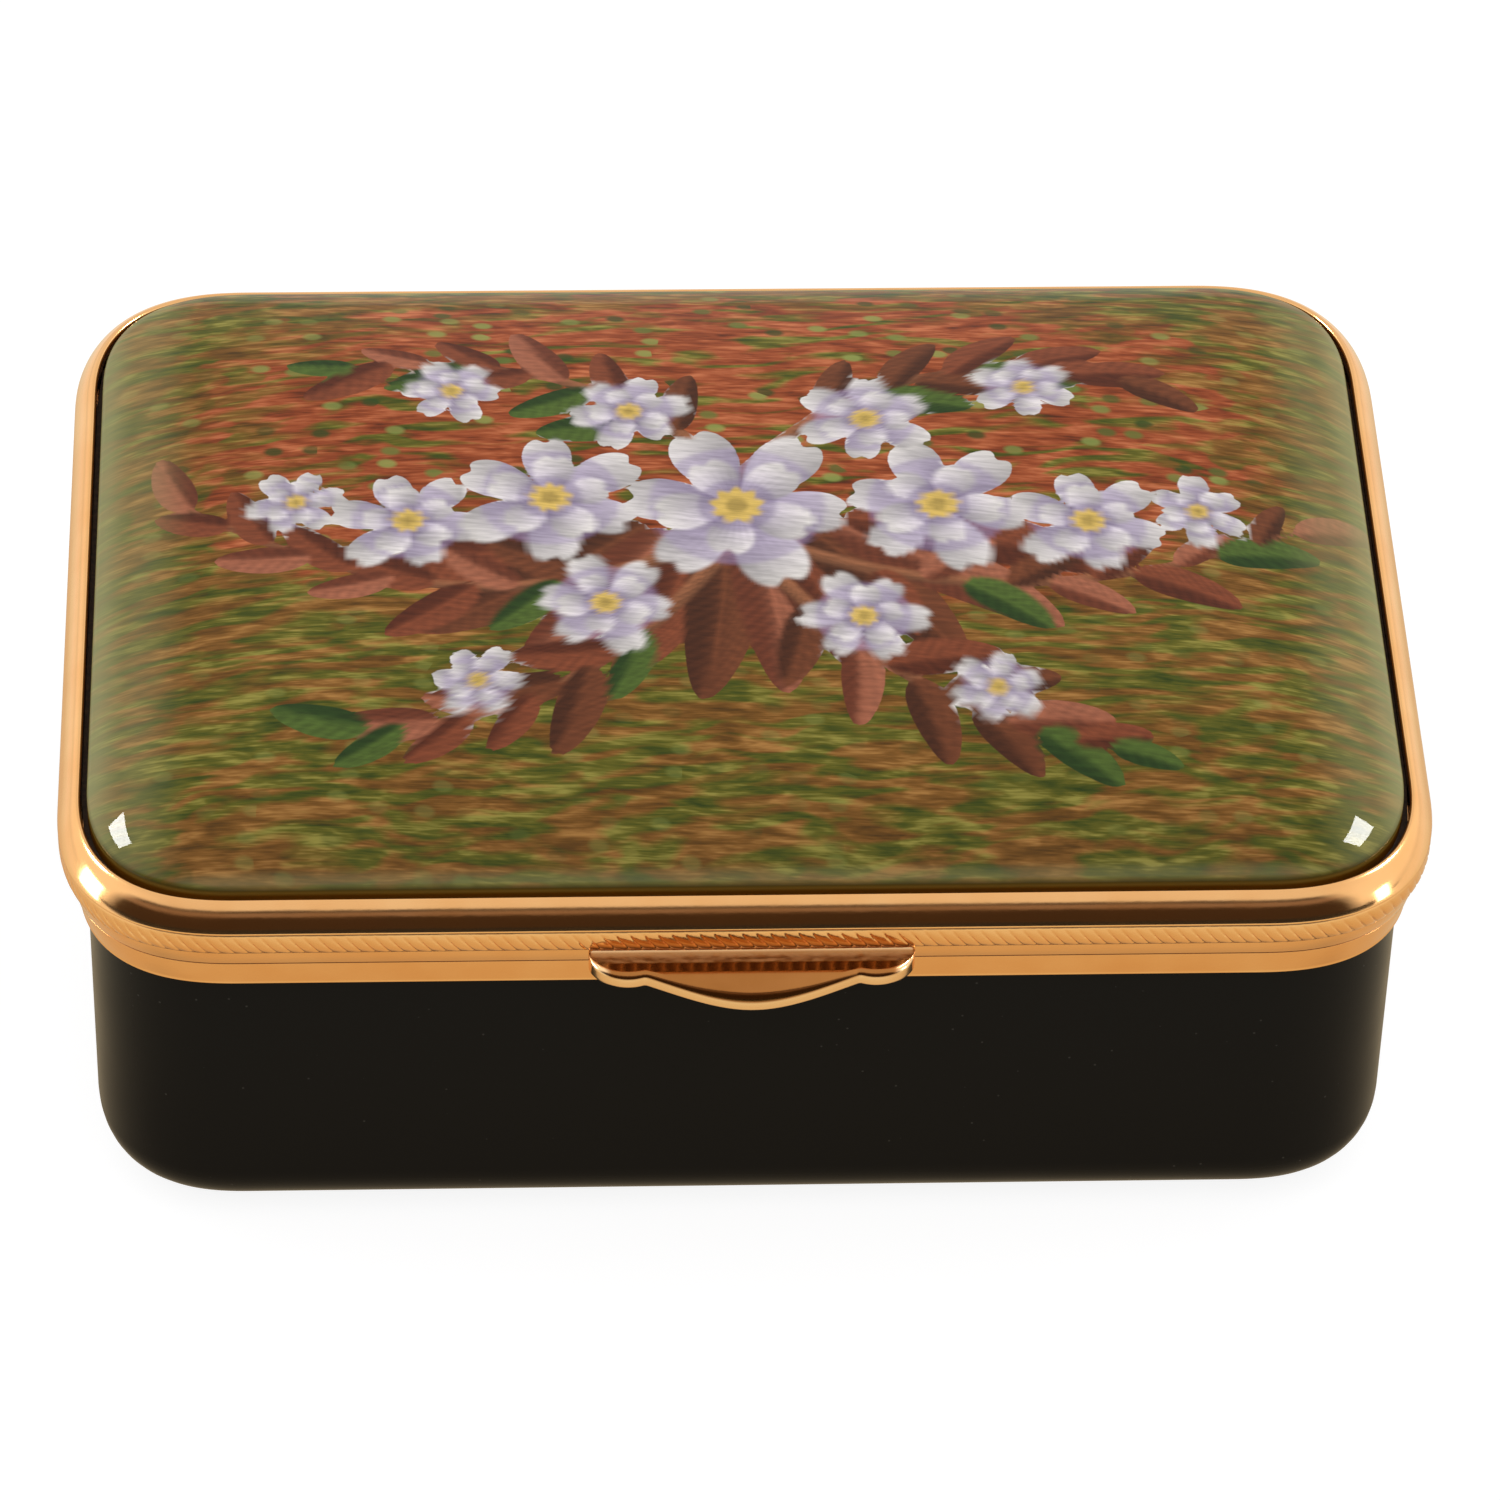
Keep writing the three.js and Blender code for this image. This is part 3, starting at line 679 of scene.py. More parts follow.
def gilt_material(name, least, pale, deep, polished_and_glint_gold=None, scuffed=None):
    """Gilding: fine polishing lines and cloudy wear raise its roughness from the least, and shift its colour
    between two golds, and a slight ripple breaks its shine. A brighter gold shows where the polish attribute
    is
    1: a buffed edge that is partly a painted highlight and glint. A rougher, mottled one shows where the
       scuffs
    attribute is 1."""
    material, tree, shader = new_material(name, pale, least, Metallic=1.0)
    cloud = noise(tree, millimetres(tree, (5, 5, 5)), detail=4)
    lines = noise(tree, millimetres(tree, (6, 6, 0.12)), detail=3)
    worn = math_node(tree, "MULTIPLY_ADD", cloud, 0.14, least)
    roughness = math_node(tree, "MULTIPLY_ADD", lines, 0.06, worn)
    colour = ramp(tree, cloud, [(0.3, pale), (0.7, deep)])
    if polished_and_glint_gold:
        polish_and_glint = add(tree, "ShaderNodeAttribute", attribute_name="polish_and_glint").outputs["Fac"]
        # Brighter gold where the polish attribute is 1, partly a painted highlight and glint
        colour = mix_colour(tree, polish_and_glint, colour, polished_and_glint_gold)
        scuffs = add(tree, "ShaderNodeAttribute", attribute_name="scuffs").outputs["Fac"]
        mottle = noise(tree, millimetres(tree, (0.9, 0.35, 0.35)), detail=3, roughness=0.6)
        scuffs = math_node(tree, "MULTIPLY", scuffs, ramp(tree, mottle, [(0.35, grey(0.45)), (0.6, grey(1))]))
        colour = mix_colour(tree, scuffs, colour, scuffed)
        roughness = math_node(tree, "MULTIPLY_ADD", scuffs, 0.38, roughness)
    tree.links.new(roughness, shader.inputs["Roughness"])
    tree.links.new(colour, shader.inputs["Base Color"])
    bump(tree, shader, noise(tree, millimetres(tree, (1.4, 1.4, 0.5))), 0.006)
    return material


def black_enamel_material():
    """Black fired enamel: near black, a soft low gloss, a faint unevenness of the fired surface, and sparse
    pale pinholes."""
    black = (0.0088, 0.0086, 0.0094, 1)
    gloss = {"Specular_IOR_Level": 0.08, "Specular_Tint": (0.9, 0.95, 1.0, 1)}
    material, tree, shader = new_material("black_enamel", black, 0.22, **gloss)
    cloud = noise(tree, millimetres(tree, (4, 4, 4)), detail=5)
    tree.links.new(math_node(tree, "MULTIPLY_ADD", cloud, 0.12, 0.17), shader.inputs["Roughness"])
    specks = cells(tree, millimetres(tree, (1.6, 1.6, 1.6))).outputs["Distance"]
    tree.links.new(ramp(tree, specks, [(0.03, grey(0.05)), (0.06, black)]), shader.inputs["Base Color"])
    bump(tree, shader, cloud, 0.012)
    return material


def cream_enamel_material():
    """Cream counter-enamel: glossy, slightly uneven and cloudy."""
    cream, coat = (0.8, 0.76, 0.66, 1), {"Coat_Weight": 0.6, "Coat_Roughness": 0.06}
    material, tree, shader = new_material("cream_enamel", cream, 0.2, **coat)
    cloud = noise(tree, millimetres(tree, (9, 9, 9)), detail=4)
    tint = ramp(tree, cloud, [(0.3, (0.76, 0.71, 0.6, 1)), (0.7, (0.84, 0.8, 0.71, 1))])
    tree.links.new(tint, shader.inputs["Base Color"])
    bump(tree, shader, noise(tree, millimetres(tree, (2.5, 2.5, 2.5))), 0.02)
    return material


def copper_material():
    """Bare copper edge between the enamel layers, dulled by firing."""
    material, tree, shader = new_material("copper", (0.62, 0.26, 0.14, 1), 0.42, Metallic=1.0)
    cloud = noise(tree, millimetres(tree, (2, 2, 2)), detail=5)
    tint = ramp(tree, cloud, [(0.3, (0.4, 0.15, 0.08, 1)), (0.7, (0.7, 0.33, 0.19, 1))])
    tree.links.new(tint, shader.inputs["Base Color"])
    tree.links.new(math_node(tree, "MULTIPLY_ADD", cloud, 0.3, 0.28), shader.inputs["Roughness"])
    return material


def cement_material():
    """Dark setting cement with a fine grain."""
    material, tree, shader = new_material("cement", (0.02, 0.012, 0.006, 1), 0.8)
    grain = noise(tree, millimetres(tree, (0.4, 0.4, 0.4)), detail=4)
    tint = ramp(tree, grain, [(0.3, (0.016, 0.008, 0.002, 1)), (0.7, (0.06, 0.028, 0.01, 1))])
    tree.links.new(tint, shader.inputs["Base Color"])
    bump(tree, shader, grain, 0.05)
    return material


def bent(tree, cell, bend_cell, bend_detail, bend, turn, place):
    """Flat pattern coordinates with cells of one size, bent by a slower noise with cells of another."""
    plain = millimetres(tree, (*cell, 1000), turn, place)
    slow = noise(tree, millimetres(tree, (*bend_cell, 1000), turn, place), bend_detail, output="Color")
    return vector_node(tree, "ADD", plain, vector_node(tree, "MULTIPLY", slow, (*bend, 0)))


def strokes(tree, length, width, turn, place, detail):
    """Brush strokes: a stretched noise, bent by a slower one."""
    at = bent(tree, (length, width), (8, 5), 1, (1.5, 2.2), turn, place)
    return noise(tree, at, detail, roughness=0.62)


def dabs(tree, length, width, turn, place):
    """Three random values for each brush dab, from a stretched cell pattern with soft joins."""
    at = bent(tree, (length, width), (2.5, 1.2), 2, (1.1, 1.1), turn, place)
    soft = {"Smoothness": 0.5, "Randomness": 1.0}
    made = cells(tree, at, soft, feature="SMOOTH_F1", voronoi_dimensions="2D")
    return add(tree, "ShaderNodeSeparateColor", {0: made.outputs["Color"]})


def shades(tree, tone, *colours):
    """Four screen colours from dark to light, spread over a tone."""
    places = 0.34, 0.45, 0.54, 0.66
    return ramp(tree, tone, [(place, srgb(*colour)) for place, colour in zip(places, colours)])


def painted_ground(tree, wide, y):
    """The picture's ground: short level strokes, red-brown in an oval field and green round it, with pale
    leaf spots. The field is the sum of powers of the shares of its half length and half depth."""
    fine = strokes(tree, 2.6, 0.4, 0.05, (3.0, 8.0, 0), 2.0)
    broad = strokes(tree, 6.5, 1.3, -0.03, (40.0, 21.0, 0), 1.5)
    patch = strokes(tree, 4.5, 1.0, 0.06, (90.0, 5.0, 0), 1.5)
    dab = dabs(tree, 2.4, 0.9, 0.04, (11.0, 50.0, 0))
    hair = strokes(tree, 1.8, 0.13, 0.02, (60.0, 70.0, 0), 1.0)
    tone = -0.04
    for part, weight in ((fine, 0.4), (patch, 0.44), (dab.outputs[0], 0.08), (hair, 0.2)):
        tone = math_node(tree, "MULTIPLY_ADD", part, weight, tone)
    leafy = shades(tree, tone, (44, 62, 4), (76, 82, 12), (104, 100, 24), (158, 148, 66))
    earthy = shades(tree, tone, (82, 54, 8), (112, 73, 18), (138, 92, 34), (182, 130, 66))
    russet = shades(tree, tone, (90, 38, 10), (138, 61, 24), (168, 82, 42), (208, 120, 76))
    green = mix_colour(tree, between(tree, broad, 0.45, 0.56), leafy, earthy)
    red = mix_colour(tree, between(tree, broad, 0.51, 0.62), russet, leafy)

    half_length, half_depth, middle, power = 39.0, 19.0, 9.0, 2.6
    across = math_node(tree, "DIVIDE", wide, half_length)
    up = math_node(tree, "DIVIDE", math_node(tree, "SUBTRACT", y, middle), half_depth)
    field = math_node(tree, "POWER", across, power)
    field = math_node(tree, "ADD", field, math_node(tree, "POWER", math_node(tree, "ABSOLUTE", up), power))
    field = math_node(tree, "ADD", field, math_node(tree, "MULTIPLY_ADD", dab.outputs[2], 0.5, -0.25))
    field = math_node(tree, "ADD", field, math_node(tree, "MULTIPLY_ADD", broad, 1.2, -0.6))
    ground = mix_colour(tree, ramp(tree, field, [(0.45, grey(0)), (1.05, grey(1))], "EASE"), red, green)

    spots = cells(tree, millimetres(tree, (2.9, 1.9, 1000), 0.2, (5.0, 2.0, 0)), voronoi_dimensions="2D")
    kept = add(tree, "ShaderNodeSeparateColor", {0: spots.outputs["Color"]})
    spot = ramp(tree, spots.outputs["Distance"], [(0.16, grey(1)), (0.28, grey(0))])
    chosen = between(tree, kept.outputs[0], 0.52, 0.56)
    inside = ramp(tree, field, [(0.5, grey(0.8)), (1.1, grey(0.25))])
    leaf_spot = ramp(tree, kept.outputs[1], [
        (0.25, srgb(44, 72, 20)), (0.5, srgb(104, 118, 50)), (0.8, srgb(150, 160, 82))])
    factor = math_node(tree, "MULTIPLY", math_node(tree, "MULTIPLY", spot, chosen), inside)
    return mix_colour(tree, factor, ground, leaf_spot)


def painted_flowers(tree, ground):
    """The flower spray from the design attribute over the ground, hatched by brush strokes that also fray its
    outlines."""
    design = add(tree, "ShaderNodeAttribute", attribute_name="design")
    hatch = strokes(tree, 2.4, 0.3, 0.15, (7.0, 31.0, 0), 2.0)
    shade = ramp(tree, hatch, [(0.3, grey(0.8)), (0.7, grey(1.15))])
    painted = mix_colour(tree, 1.0, design.outputs["Color"], shade, "MULTIPLY")
    ragged = math_node(tree, "MULTIPLY_ADD", hatch, 0.1, -0.05)
    cover = between(tree, math_node(tree, "ADD", design.outputs["Alpha"], ragged), 0.46, 0.54)
    return mix_colour(tree, cover, ground, painted)


def edge_reflection_and_shade(tree, colour, wide, deep, z):
    """The picture's edge: a painted pale reflection towards the ends and sides, and a painted brown shade
    where it goes down into the mount.
    """
    # Painted reflection: the colour turns a pale grey-green towards the ends and sides
    side = ramp(tree, math_node(tree, "DIVIDE", wide, 50.0), [
        (0.72, grey(0)), (0.81, grey(0.3)), (0.86, grey(0.7))], "EASE")
    end = ramp(tree, math_node(tree, "DIVIDE", deep, 50.0), [
        (0.575, grey(0)), (0.59, grey(0.28)), (0.6, grey(0.45))], "EASE")
    colour = mix_colour(tree, math_node(tree, "MAXIMUM", side, end), colour, srgb(170, 168, 116))
    # Painted shade: brown, lighter midway, where the enamel goes down into the mount
    groove_shade_mask = ramp(tree, math_node(tree, "SUBTRACT", z, 30.0), [(0.35, grey(1)), (0.75, grey(0))])
    groove_shade_colour = ramp(tree, math_node(tree, "SUBTRACT", z, 29.5), [
        (0.4, srgb(92, 58, 8)), (0.65, srgb(118, 94, 38)), (0.95, srgb(76, 68, 18))])
    return mix_colour(tree, groove_shade_mask, colour, groove_shade_colour)


def painted_enamel_material():
    """Painted enamel under a clear glossy flux, which is slightly uneven."""
    flux = {"Specular_IOR_Level": 0.0, "Coat_Weight": 0.36, "Coat_Roughness": 0.02, "Coat_IOR": 1.5}
    material, tree, shader = new_material("painted_enamel", (0.1, 0.09, 0.03, 1), 0.5, **flux)
    coordinate = add(tree, "ShaderNodeSeparateXYZ", {0: millimetres(tree)})
    x, y, z = (coordinate.outputs[k] for k in range(3))
    wide, deep = math_node(tree, "ABSOLUTE", x), math_node(tree, "ABSOLUTE", y)
    picture = painted_flowers(tree, painted_ground(tree, wide, y))
    tree.links.new(edge_reflection_and_shade(tree, picture, wide, deep, z), shader.inputs["Base Color"])
    relief = noise(tree, millimetres(tree, (7, 7, 7)), detail=1)
    bump(tree, shader, relief, 0.02, socket="Coat Normal")
    return material


def lay(canvas, depth, colour, share=1.0):
    """Lays a colour, or one for each point, where the depth inside a shape's outline is above zero. The
    canvas also keeps the greatest depth as cover, which is a half on the outline, and a full colour spreads
    half a millimetre over bare points, so that the outline doesn't pick up the colour under it."""
    colour = np.asarray(colour)[..., :3]
    mask = (soft_step(depth, width=0.5) * share)[:, None]
    canvas[:, :3] = canvas[:, :3] * (1 - mask) + colour * mask
    if np.max(share) >= 1:
        grown = soft_step(depth + 0.5, width=0.5)[:, None] * (canvas[:, 3:] < 0.5)
        canvas[:, :3] = canvas[:, :3] * (1 - grown) + colour * grown
        canvas[:, 3] = np.maximum(canvas[:, 3], np.clip(depth + 0.5, 0, 1))


def paint_leaf(canvas, at, base, heading, length, width, dark, light):
    """A leaf: its half width is the width times the root of a parabola along it. One half is dark and one
    light, and a pale rib with side veins runs up the middle."""
    away = at - base
    along = (away @ [np.cos(heading), np.sin(heading)]) / length
    across = away @ [-np.sin(heading), np.cos(heading)] - 0.12 * length * along * (1 - along)
    half = width / 2 * np.sqrt(np.clip(4 * along * (1 - along), 0, 1)) * (1.15 - 0.4 * along)
    beyond = np.maximum(np.abs(along - 0.5) - 0.5, 0) * length
    depth = half - np.abs(across) - beyond
    share = soft_step(across, 0.5 * width)[:, None]
    colour = dark[:3] * (1 - share) + light[:3] * share
    vein = 0.14 * np.cos((along * length - np.abs(across) * 0.8) * 6.5)[:, None]
    rib = np.exp(-((across / 0.2) ** 2))[:, None] * 0.5
    lay(canvas, depth, colour * (1 + vein) * (1 - rib) + light[:3] * 1.35 * rib)


def paint_stem(canvas, at, ends, control, width, colour):
    """A stem: points near a parabola from one end to the other, thinner towards its tip, and dark
    underneath."""
    t = np.linspace(0, 1, 90)[:, None]
    curve = (1 - t) ** 2 * ends[0] + 2 * t * (1 - t) * control + t**2 * ends[1]
    nearest = np.zeros(len(at), int)
    gap = np.full(len(at), np.inf)
    group = 30
    for start in range(0, len(t), group):
        reach = np.linalg.norm(at[:, None, :] - curve[None, start:start + group], axis=2)
        closer = reach.min(axis=1) < gap
        nearest[closer] = reach.argmin(axis=1)[closer] + start
        gap = np.minimum(gap, reach.min(axis=1))
    half = width / 2 * (1 - 0.6 * t[nearest, 0])
    under = soft_step(curve[nearest, 1] - at[:, 1], 0.6)[:, None]
    lay(canvas, half - gap, colour[:3] * (1.1 - 0.5 * under))


def paint_petals(canvas, at, centre, radius, count, turn, base, tip):
    """A ring of petals: each reaches the radius times a power of the cosine across it, with a dent at its
    tip. The depth inside is what is left of that reach, eased where the outline is steep. The colour runs
    from base to tip, is darker to one side and at the seams, and has fine rays."""
    away = at - centre
    reach = np.hypot(*away.T)
    angle = np.arctan2(away[:, 1], away[:, 0]) - turn
    across = (angle * count / (2 * np.pi) + 0.5) % 1 - 0.5
    number = np.floor(angle * count / (2 * np.pi) + 0.5)
    uneven = 1 + 0.07 * np.sin(number * 2.4 + turn * 5)
    cosine = np.clip(np.cos(np.pi * across), 0.02, 1)
    outline = radius * uneven * cosine**0.38 * (1 - 0.1 * np.exp(-((across / 0.08) ** 2)))
    steepness = 0.19 * count * outline * np.tan(np.pi * np.clip(across, -0.49, 0.49)) / np.maximum(reach, 0.3)
    depth = (outline - reach) / np.sqrt(1 + steepness**2)
    share = np.clip(reach / radius, 0, 1)[:, None] ** 0.8
    side = (0.84 + 0.26 * np.sin(np.pi * across))[:, None]
    rays = (1 + 0.08 * np.cos(across * 50 + number) * (1 - share[:, 0]))[:, None]
    seam = (1 - 0.4 * np.exp(-(((np.abs(across) - 0.5) / 0.05) ** 2)))[:, None]
    lay(canvas, depth, (base[:3] * (1 - share) + tip[:3] * share) * side * rays * seam)


def paint_blossom(canvas, at, centre, radius, turn, white, lilac, straw):
    """A double blossom: an outer and an inner ring of petals round a straw-yellow heart with a dark
    middle."""
    centre = np.array(centre, float)
    paint_petals(canvas, at, centre, radius, 6, turn, lilac * 0.8, white * 0.92)
    reach = np.hypot(*(at - centre).T)
    lay(canvas, radius * 0.72 - reach, lilac * 0.8, 0.45)
    paint_petals(canvas, at, centre, radius * 0.66, 5, turn + 0.5, lilac * 0.95, white)
    angle = np.arctan2(*(at - centre).T)
    heart = radius * 0.2
    lay(canvas, heart * 1.6 - reach, lilac * 0.55, 0.5)
    lay(canvas, heart * (1 + 0.12 * np.cos(9 * angle)) - reach, straw)
    lay(canvas, heart * 0.45 - reach, straw * 0.45, 0.7)


def colours(*screen):
    """Screen colours as linear values that can be scaled."""
    return [np.array(srgb(*colour)) for colour in screen]


def paint_low_leaves(canvas, at, pairs):
    """A fan of long leaves below the middle, each from a point on a low arc."""
    headings = np.radians([196, 214, 232, 249, 263, 277, 291, 308, 326, 344])
    lengths = 19.0, 18.0, 16.0, 14.5, 15.5, 15.0, 14.5, 16.0, 18.0, 19.0
    for k, (heading, length) in enumerate(zip(headings, lengths)):
        base = np.array([7.5 * np.cos(heading), 1.0 + 2.5 * np.sin(heading)])
        paint_leaf(canvas, at, base, heading, length, 5.2, *pairs[k % len(pairs)])


def paint_branch(canvas, at, start, control, end, pairs, rng):
    """Leaves along a stem, to its left and right by turns, shorter and closer to its direction towards its
    tip."""
    for place, share in enumerate(np.linspace(0.2, 0.99, 11)):
        base = (1 - share) ** 2 * start + 2 * share * (1 - share) * control + share**2 * end
        ahead = 2 * (1 - share) * (control - start) + 2 * share * (end - control)
        spread = (0.8 if place % 2 else -0.8) * (1 - 0.6 * share)
        heading = np.arctan2(ahead[1], ahead[0]) + spread + rng.normal(0, 0.15)
        dark, light = pairs[rng.integers(len(pairs))]
        length = rng.uniform(6.0, 9.0) * (1.1 - 0.35 * share)
        paint_leaf(canvas, at, base, heading, length, length * 0.42, dark, light)


def paint_design(piece):
    """The flower spray, painted from back to front on the lid's plan and kept on its points as colour and
    cover."""
    mesh = piece.data
    at = np.empty(len(mesh.vertices) * 3, np.float32)
    mesh.vertices.foreach_get("co", at)
    at = at.reshape(-1, 3)[:, :2].astype(float) / MM
    canvas = np.zeros((len(at), 4))
    canvas[:, :3] = srgb(110, 84, 44)[:3]
    white, lilac, straw, bark = colours((250, 244, 238), (180, 158, 206), (232, 196, 104), (158, 100, 66))
    russet, green = colours((92, 42, 22), (138, 72, 44)), colours((42, 66, 22), (84, 106, 42))
    rose, umber = colours((112, 56, 34), (172, 104, 76)), colours((78, 40, 20), (120, 66, 38))
    stems = np.array([
        [(-2, -2), (-20, -13), (-37, 4)], [(2, -2), (20, -12), (38, 1)], [(-1, -3), (-10, -19), (-25, -19)],
        [(1, -3), (9, -18), (24, -21)], [(0, 4), (-9, 19), (-26, 17)], [(0, 4), (11, 20), (27, 15)]], float)
    blossoms = [
        (-29.5, 3.0, 3.4), (31.0, 1.5, 3.6), (-19.0, 14.0, 3.6), (20.0, 14.0, 3.6), (-17.5, -15.0, 3.2),
        (16.5, -16.0, 3.2), (-7.0, 11.5, 4.2), (8.0, -9.5, 4.4), (-22.0, 0.5, 5.2), (23.5, 0.0, 5.4),
        (-9.0, -8.0, 4.8), (9.0, 10.5, 4.8), (-12.5, 2.5, 6.6), (13.5, 1.5, 6.6), (0.0, 1.5, 8.2)]
    rng = np.random.default_rng(11)
    paint_low_leaves(canvas, at, (russet, umber, rose))
    for start, control, end in stems:
        paint_stem(canvas, at, (start, end), control, 1.2, bark)
    for start, control, end in stems:
        paint_branch(canvas, at, start, control, end, (russet, green, rose, umber), rng)
    for x, y, radius in blossoms:
        paint_blossom(canvas, at, (x, y), radius, rng.uniform(0, 2 * np.pi), white, lilac, straw)
    attribute = mesh.attributes.new("design", "FLOAT_COLOR", "POINT")
    attribute.data.foreach_set("color", canvas.astype(np.float32).ravel())


def dress(piece, finish, body, *nodes):
    """Gives a new piece its finish and its body, and hides the CAD nodes that it stands for."""
    slot, material = finish
    piece.data.materials.append(material)
    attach(piece, body)
    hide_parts(*nodes)


def finish_node(name, finish):
    """Gives a CAD node that stays its finish."""
    slots = frame["nodes"][name].data.materials
    slots.clear()
    slots.append(finish[1])


def build_body(black, cream, gilt):
    """The body's enamel layers, its mount, the lip and the two snap pips."""
    lining_depth = BLACK_ENAMEL + BODY_COPPER + 2 * LAYER_GAP
    inner_face = BODY_INSET + lining_depth + BODY_LINING
    dress(dish_layer("body_black_shell", 0.0, BLACK_ENAMEL), black, "body", "body_black_enamel")
    dress(dish_layer("body_cream_lining", lining_depth, BODY_LINING), cream, "body", "body_lining_enamel")
    channel_outside, channel_inside = BODY_INSET - SEAT_GAP, inner_face + SEAT_GAP
    leg_inside = channel_inside + RIM_INNER_LEG
    under = WALL_HEIGHT + CEMENT
    grip = WALL_HEIGHT - RIM_INNER_GRIP
    lean = (RIM_BOTTOM_INSET - RIM_TOP_INSET) / (RIM_TOP - RIM_BOTTOM)
    flare_start = RIM_BOTTOM_INSET - lean * RIM_FLARE_HEIGHT, RIM_BOTTOM + RIM_FLARE_HEIGHT
    rim = rounded_section(
        [(RIM_BOTTOM_INSET - RIM_FLARE, RIM_BOTTOM), flare_start, (RIM_TOP_INSET, RIM_TOP),
         (leg_inside, RIM_TOP), (leg_inside, grip), (channel_inside, grip), (channel_inside, under),
         (channel_outside, under), (channel_outside, RIM_BOTTOM)],
        breaks=[0.08, 0.1, 0.04, 0.12, 0.12, 0.12, 0.02, 0.02, 0.1])
    dress(ring("body_rim_channel", rim), gilt, "body", "body_rim")
    lip_inset = STEM_INSIDE + LIP_CLEARANCE
    lip_inside, lip_top = lip_inset + LIP_THICKNESS, RIM_TOP + LIP_HEIGHT
    lip = rounded_section(
        [(lip_inset, RIM_TOP), (lip_inset, lip_top), (lip_inside, lip_top), (lip_inside, RIM_TOP)],
        breaks=[0.01, 0.18, 0.18, 0.01])
    dress(ring("body_lip_rounded", lip), gilt, "body", "body_lip")
    turn = np.linspace(0, np.pi / 2, 9)
    dome = np.column_stack([PIP_RADIUS * np.cos(turn), -PIP_PROUD * np.sin(turn)])
    profile = np.concatenate([[(0, 0)], dome])
    profile[-1, 0] = 0
    for name, side in (("left", -1), ("right", 1)):
        centre = (side * PIP_SPACING / 2, -(BOX_DEPTH / 2 - lip_inset), RIM_TOP + PIP_HEIGHT)
        dress(spun(f"snap_pip_{name}_round", profile, centre, "Y"), gilt, "body", f"snap_pip_{name}")


def build_lid(painted, cream, gilt, brushed):
    """The lid's enamel layers, its strip, rope band, moulding and retaining ring, and the thumb-piece."""
    lining_depth = PAINTED_ENAMEL + CAP_COPPER + 2 * LAYER_GAP
    cap = cap_layer("lid_painted_dome", 0.0, PAINTED_ENAMEL, DOME_STEPS, outer_count=118, inner_count=6)
    paint_design(cap)
    dress(cap, painted, "lid", "lid_painted_enamel")
    lining = cap_layer(
        "lid_cream_lining", lining_depth, CAP_LINING, PLAIN_STEPS, outer_count=24, inner_count=40)
    dress(lining, cream, "lid", "lid_lining_enamel")
    strip = rounded_section(
        [(STRIP_BOTTOM_INSET, LID_BOTTOM), (STRIP_TOP_INSET, ROPE_BOTTOM), (STEM_INSET, ROPE_BOTTOM),
         (STEM_INSET, SEAT_HEIGHT), (STEM_INSIDE, SEAT_HEIGHT), (STEM_INSIDE, LID_BOTTOM)],
        breaks=[0.03, 0.04, 0.02, 0.02, 0.02, 0.12])
    dress(ring("lid_strip_rounded", strip), gilt, "lid", "lid_plain_strip")
    dress(milled_rope(), gilt, "lid", "lid_rope_band")
    dress(ring("lid_moulding_rounded", moulding_section(), MOULDING_STEPS), gilt, "lid", "lid_moulding")
    outer, inner = STEM_INSIDE + SEAT_GAP, CAP_INSET + lining_depth + CAP_LINING + RING_LEDGE
    under = SEAT_HEIGHT - RING_THICKNESS
    ledge = rounded_section(
        [(outer, under), (outer, SEAT_HEIGHT), (inner, SEAT_HEIGHT), (inner, under)],
        breaks=[0.03, 0.03, 0.15, 0.15])
    dress(ring("lid_ring_rounded", ledge), gilt, "lid", "lid_retaining_ring")
    dress(thumb_piece(), brushed, "lid", "thumb_piece")


def build_hinge(gilt):
    """Knuckles by turns on the body and on the lid, and the pin through them."""
    for place in range(KNUCKLE_COUNT):
        body, side = ("body", -1) if place % 2 == 0 else ("lid", 1)
        number = place // 2 + 1
        dress(knuckle(f"{body}_barrel_{number}", place, side), gilt, body, f"{body}_knuckle_{number}")
    rod = round_ended(PIN_RADIUS, HINGE_LENGTH / 2, PIN_END_ROUND)
    dress(spun("hinge_pin_round", rod, (0, AXIS_Y, AXIS_Z), "X"), gilt, "body", "hinge_pin")


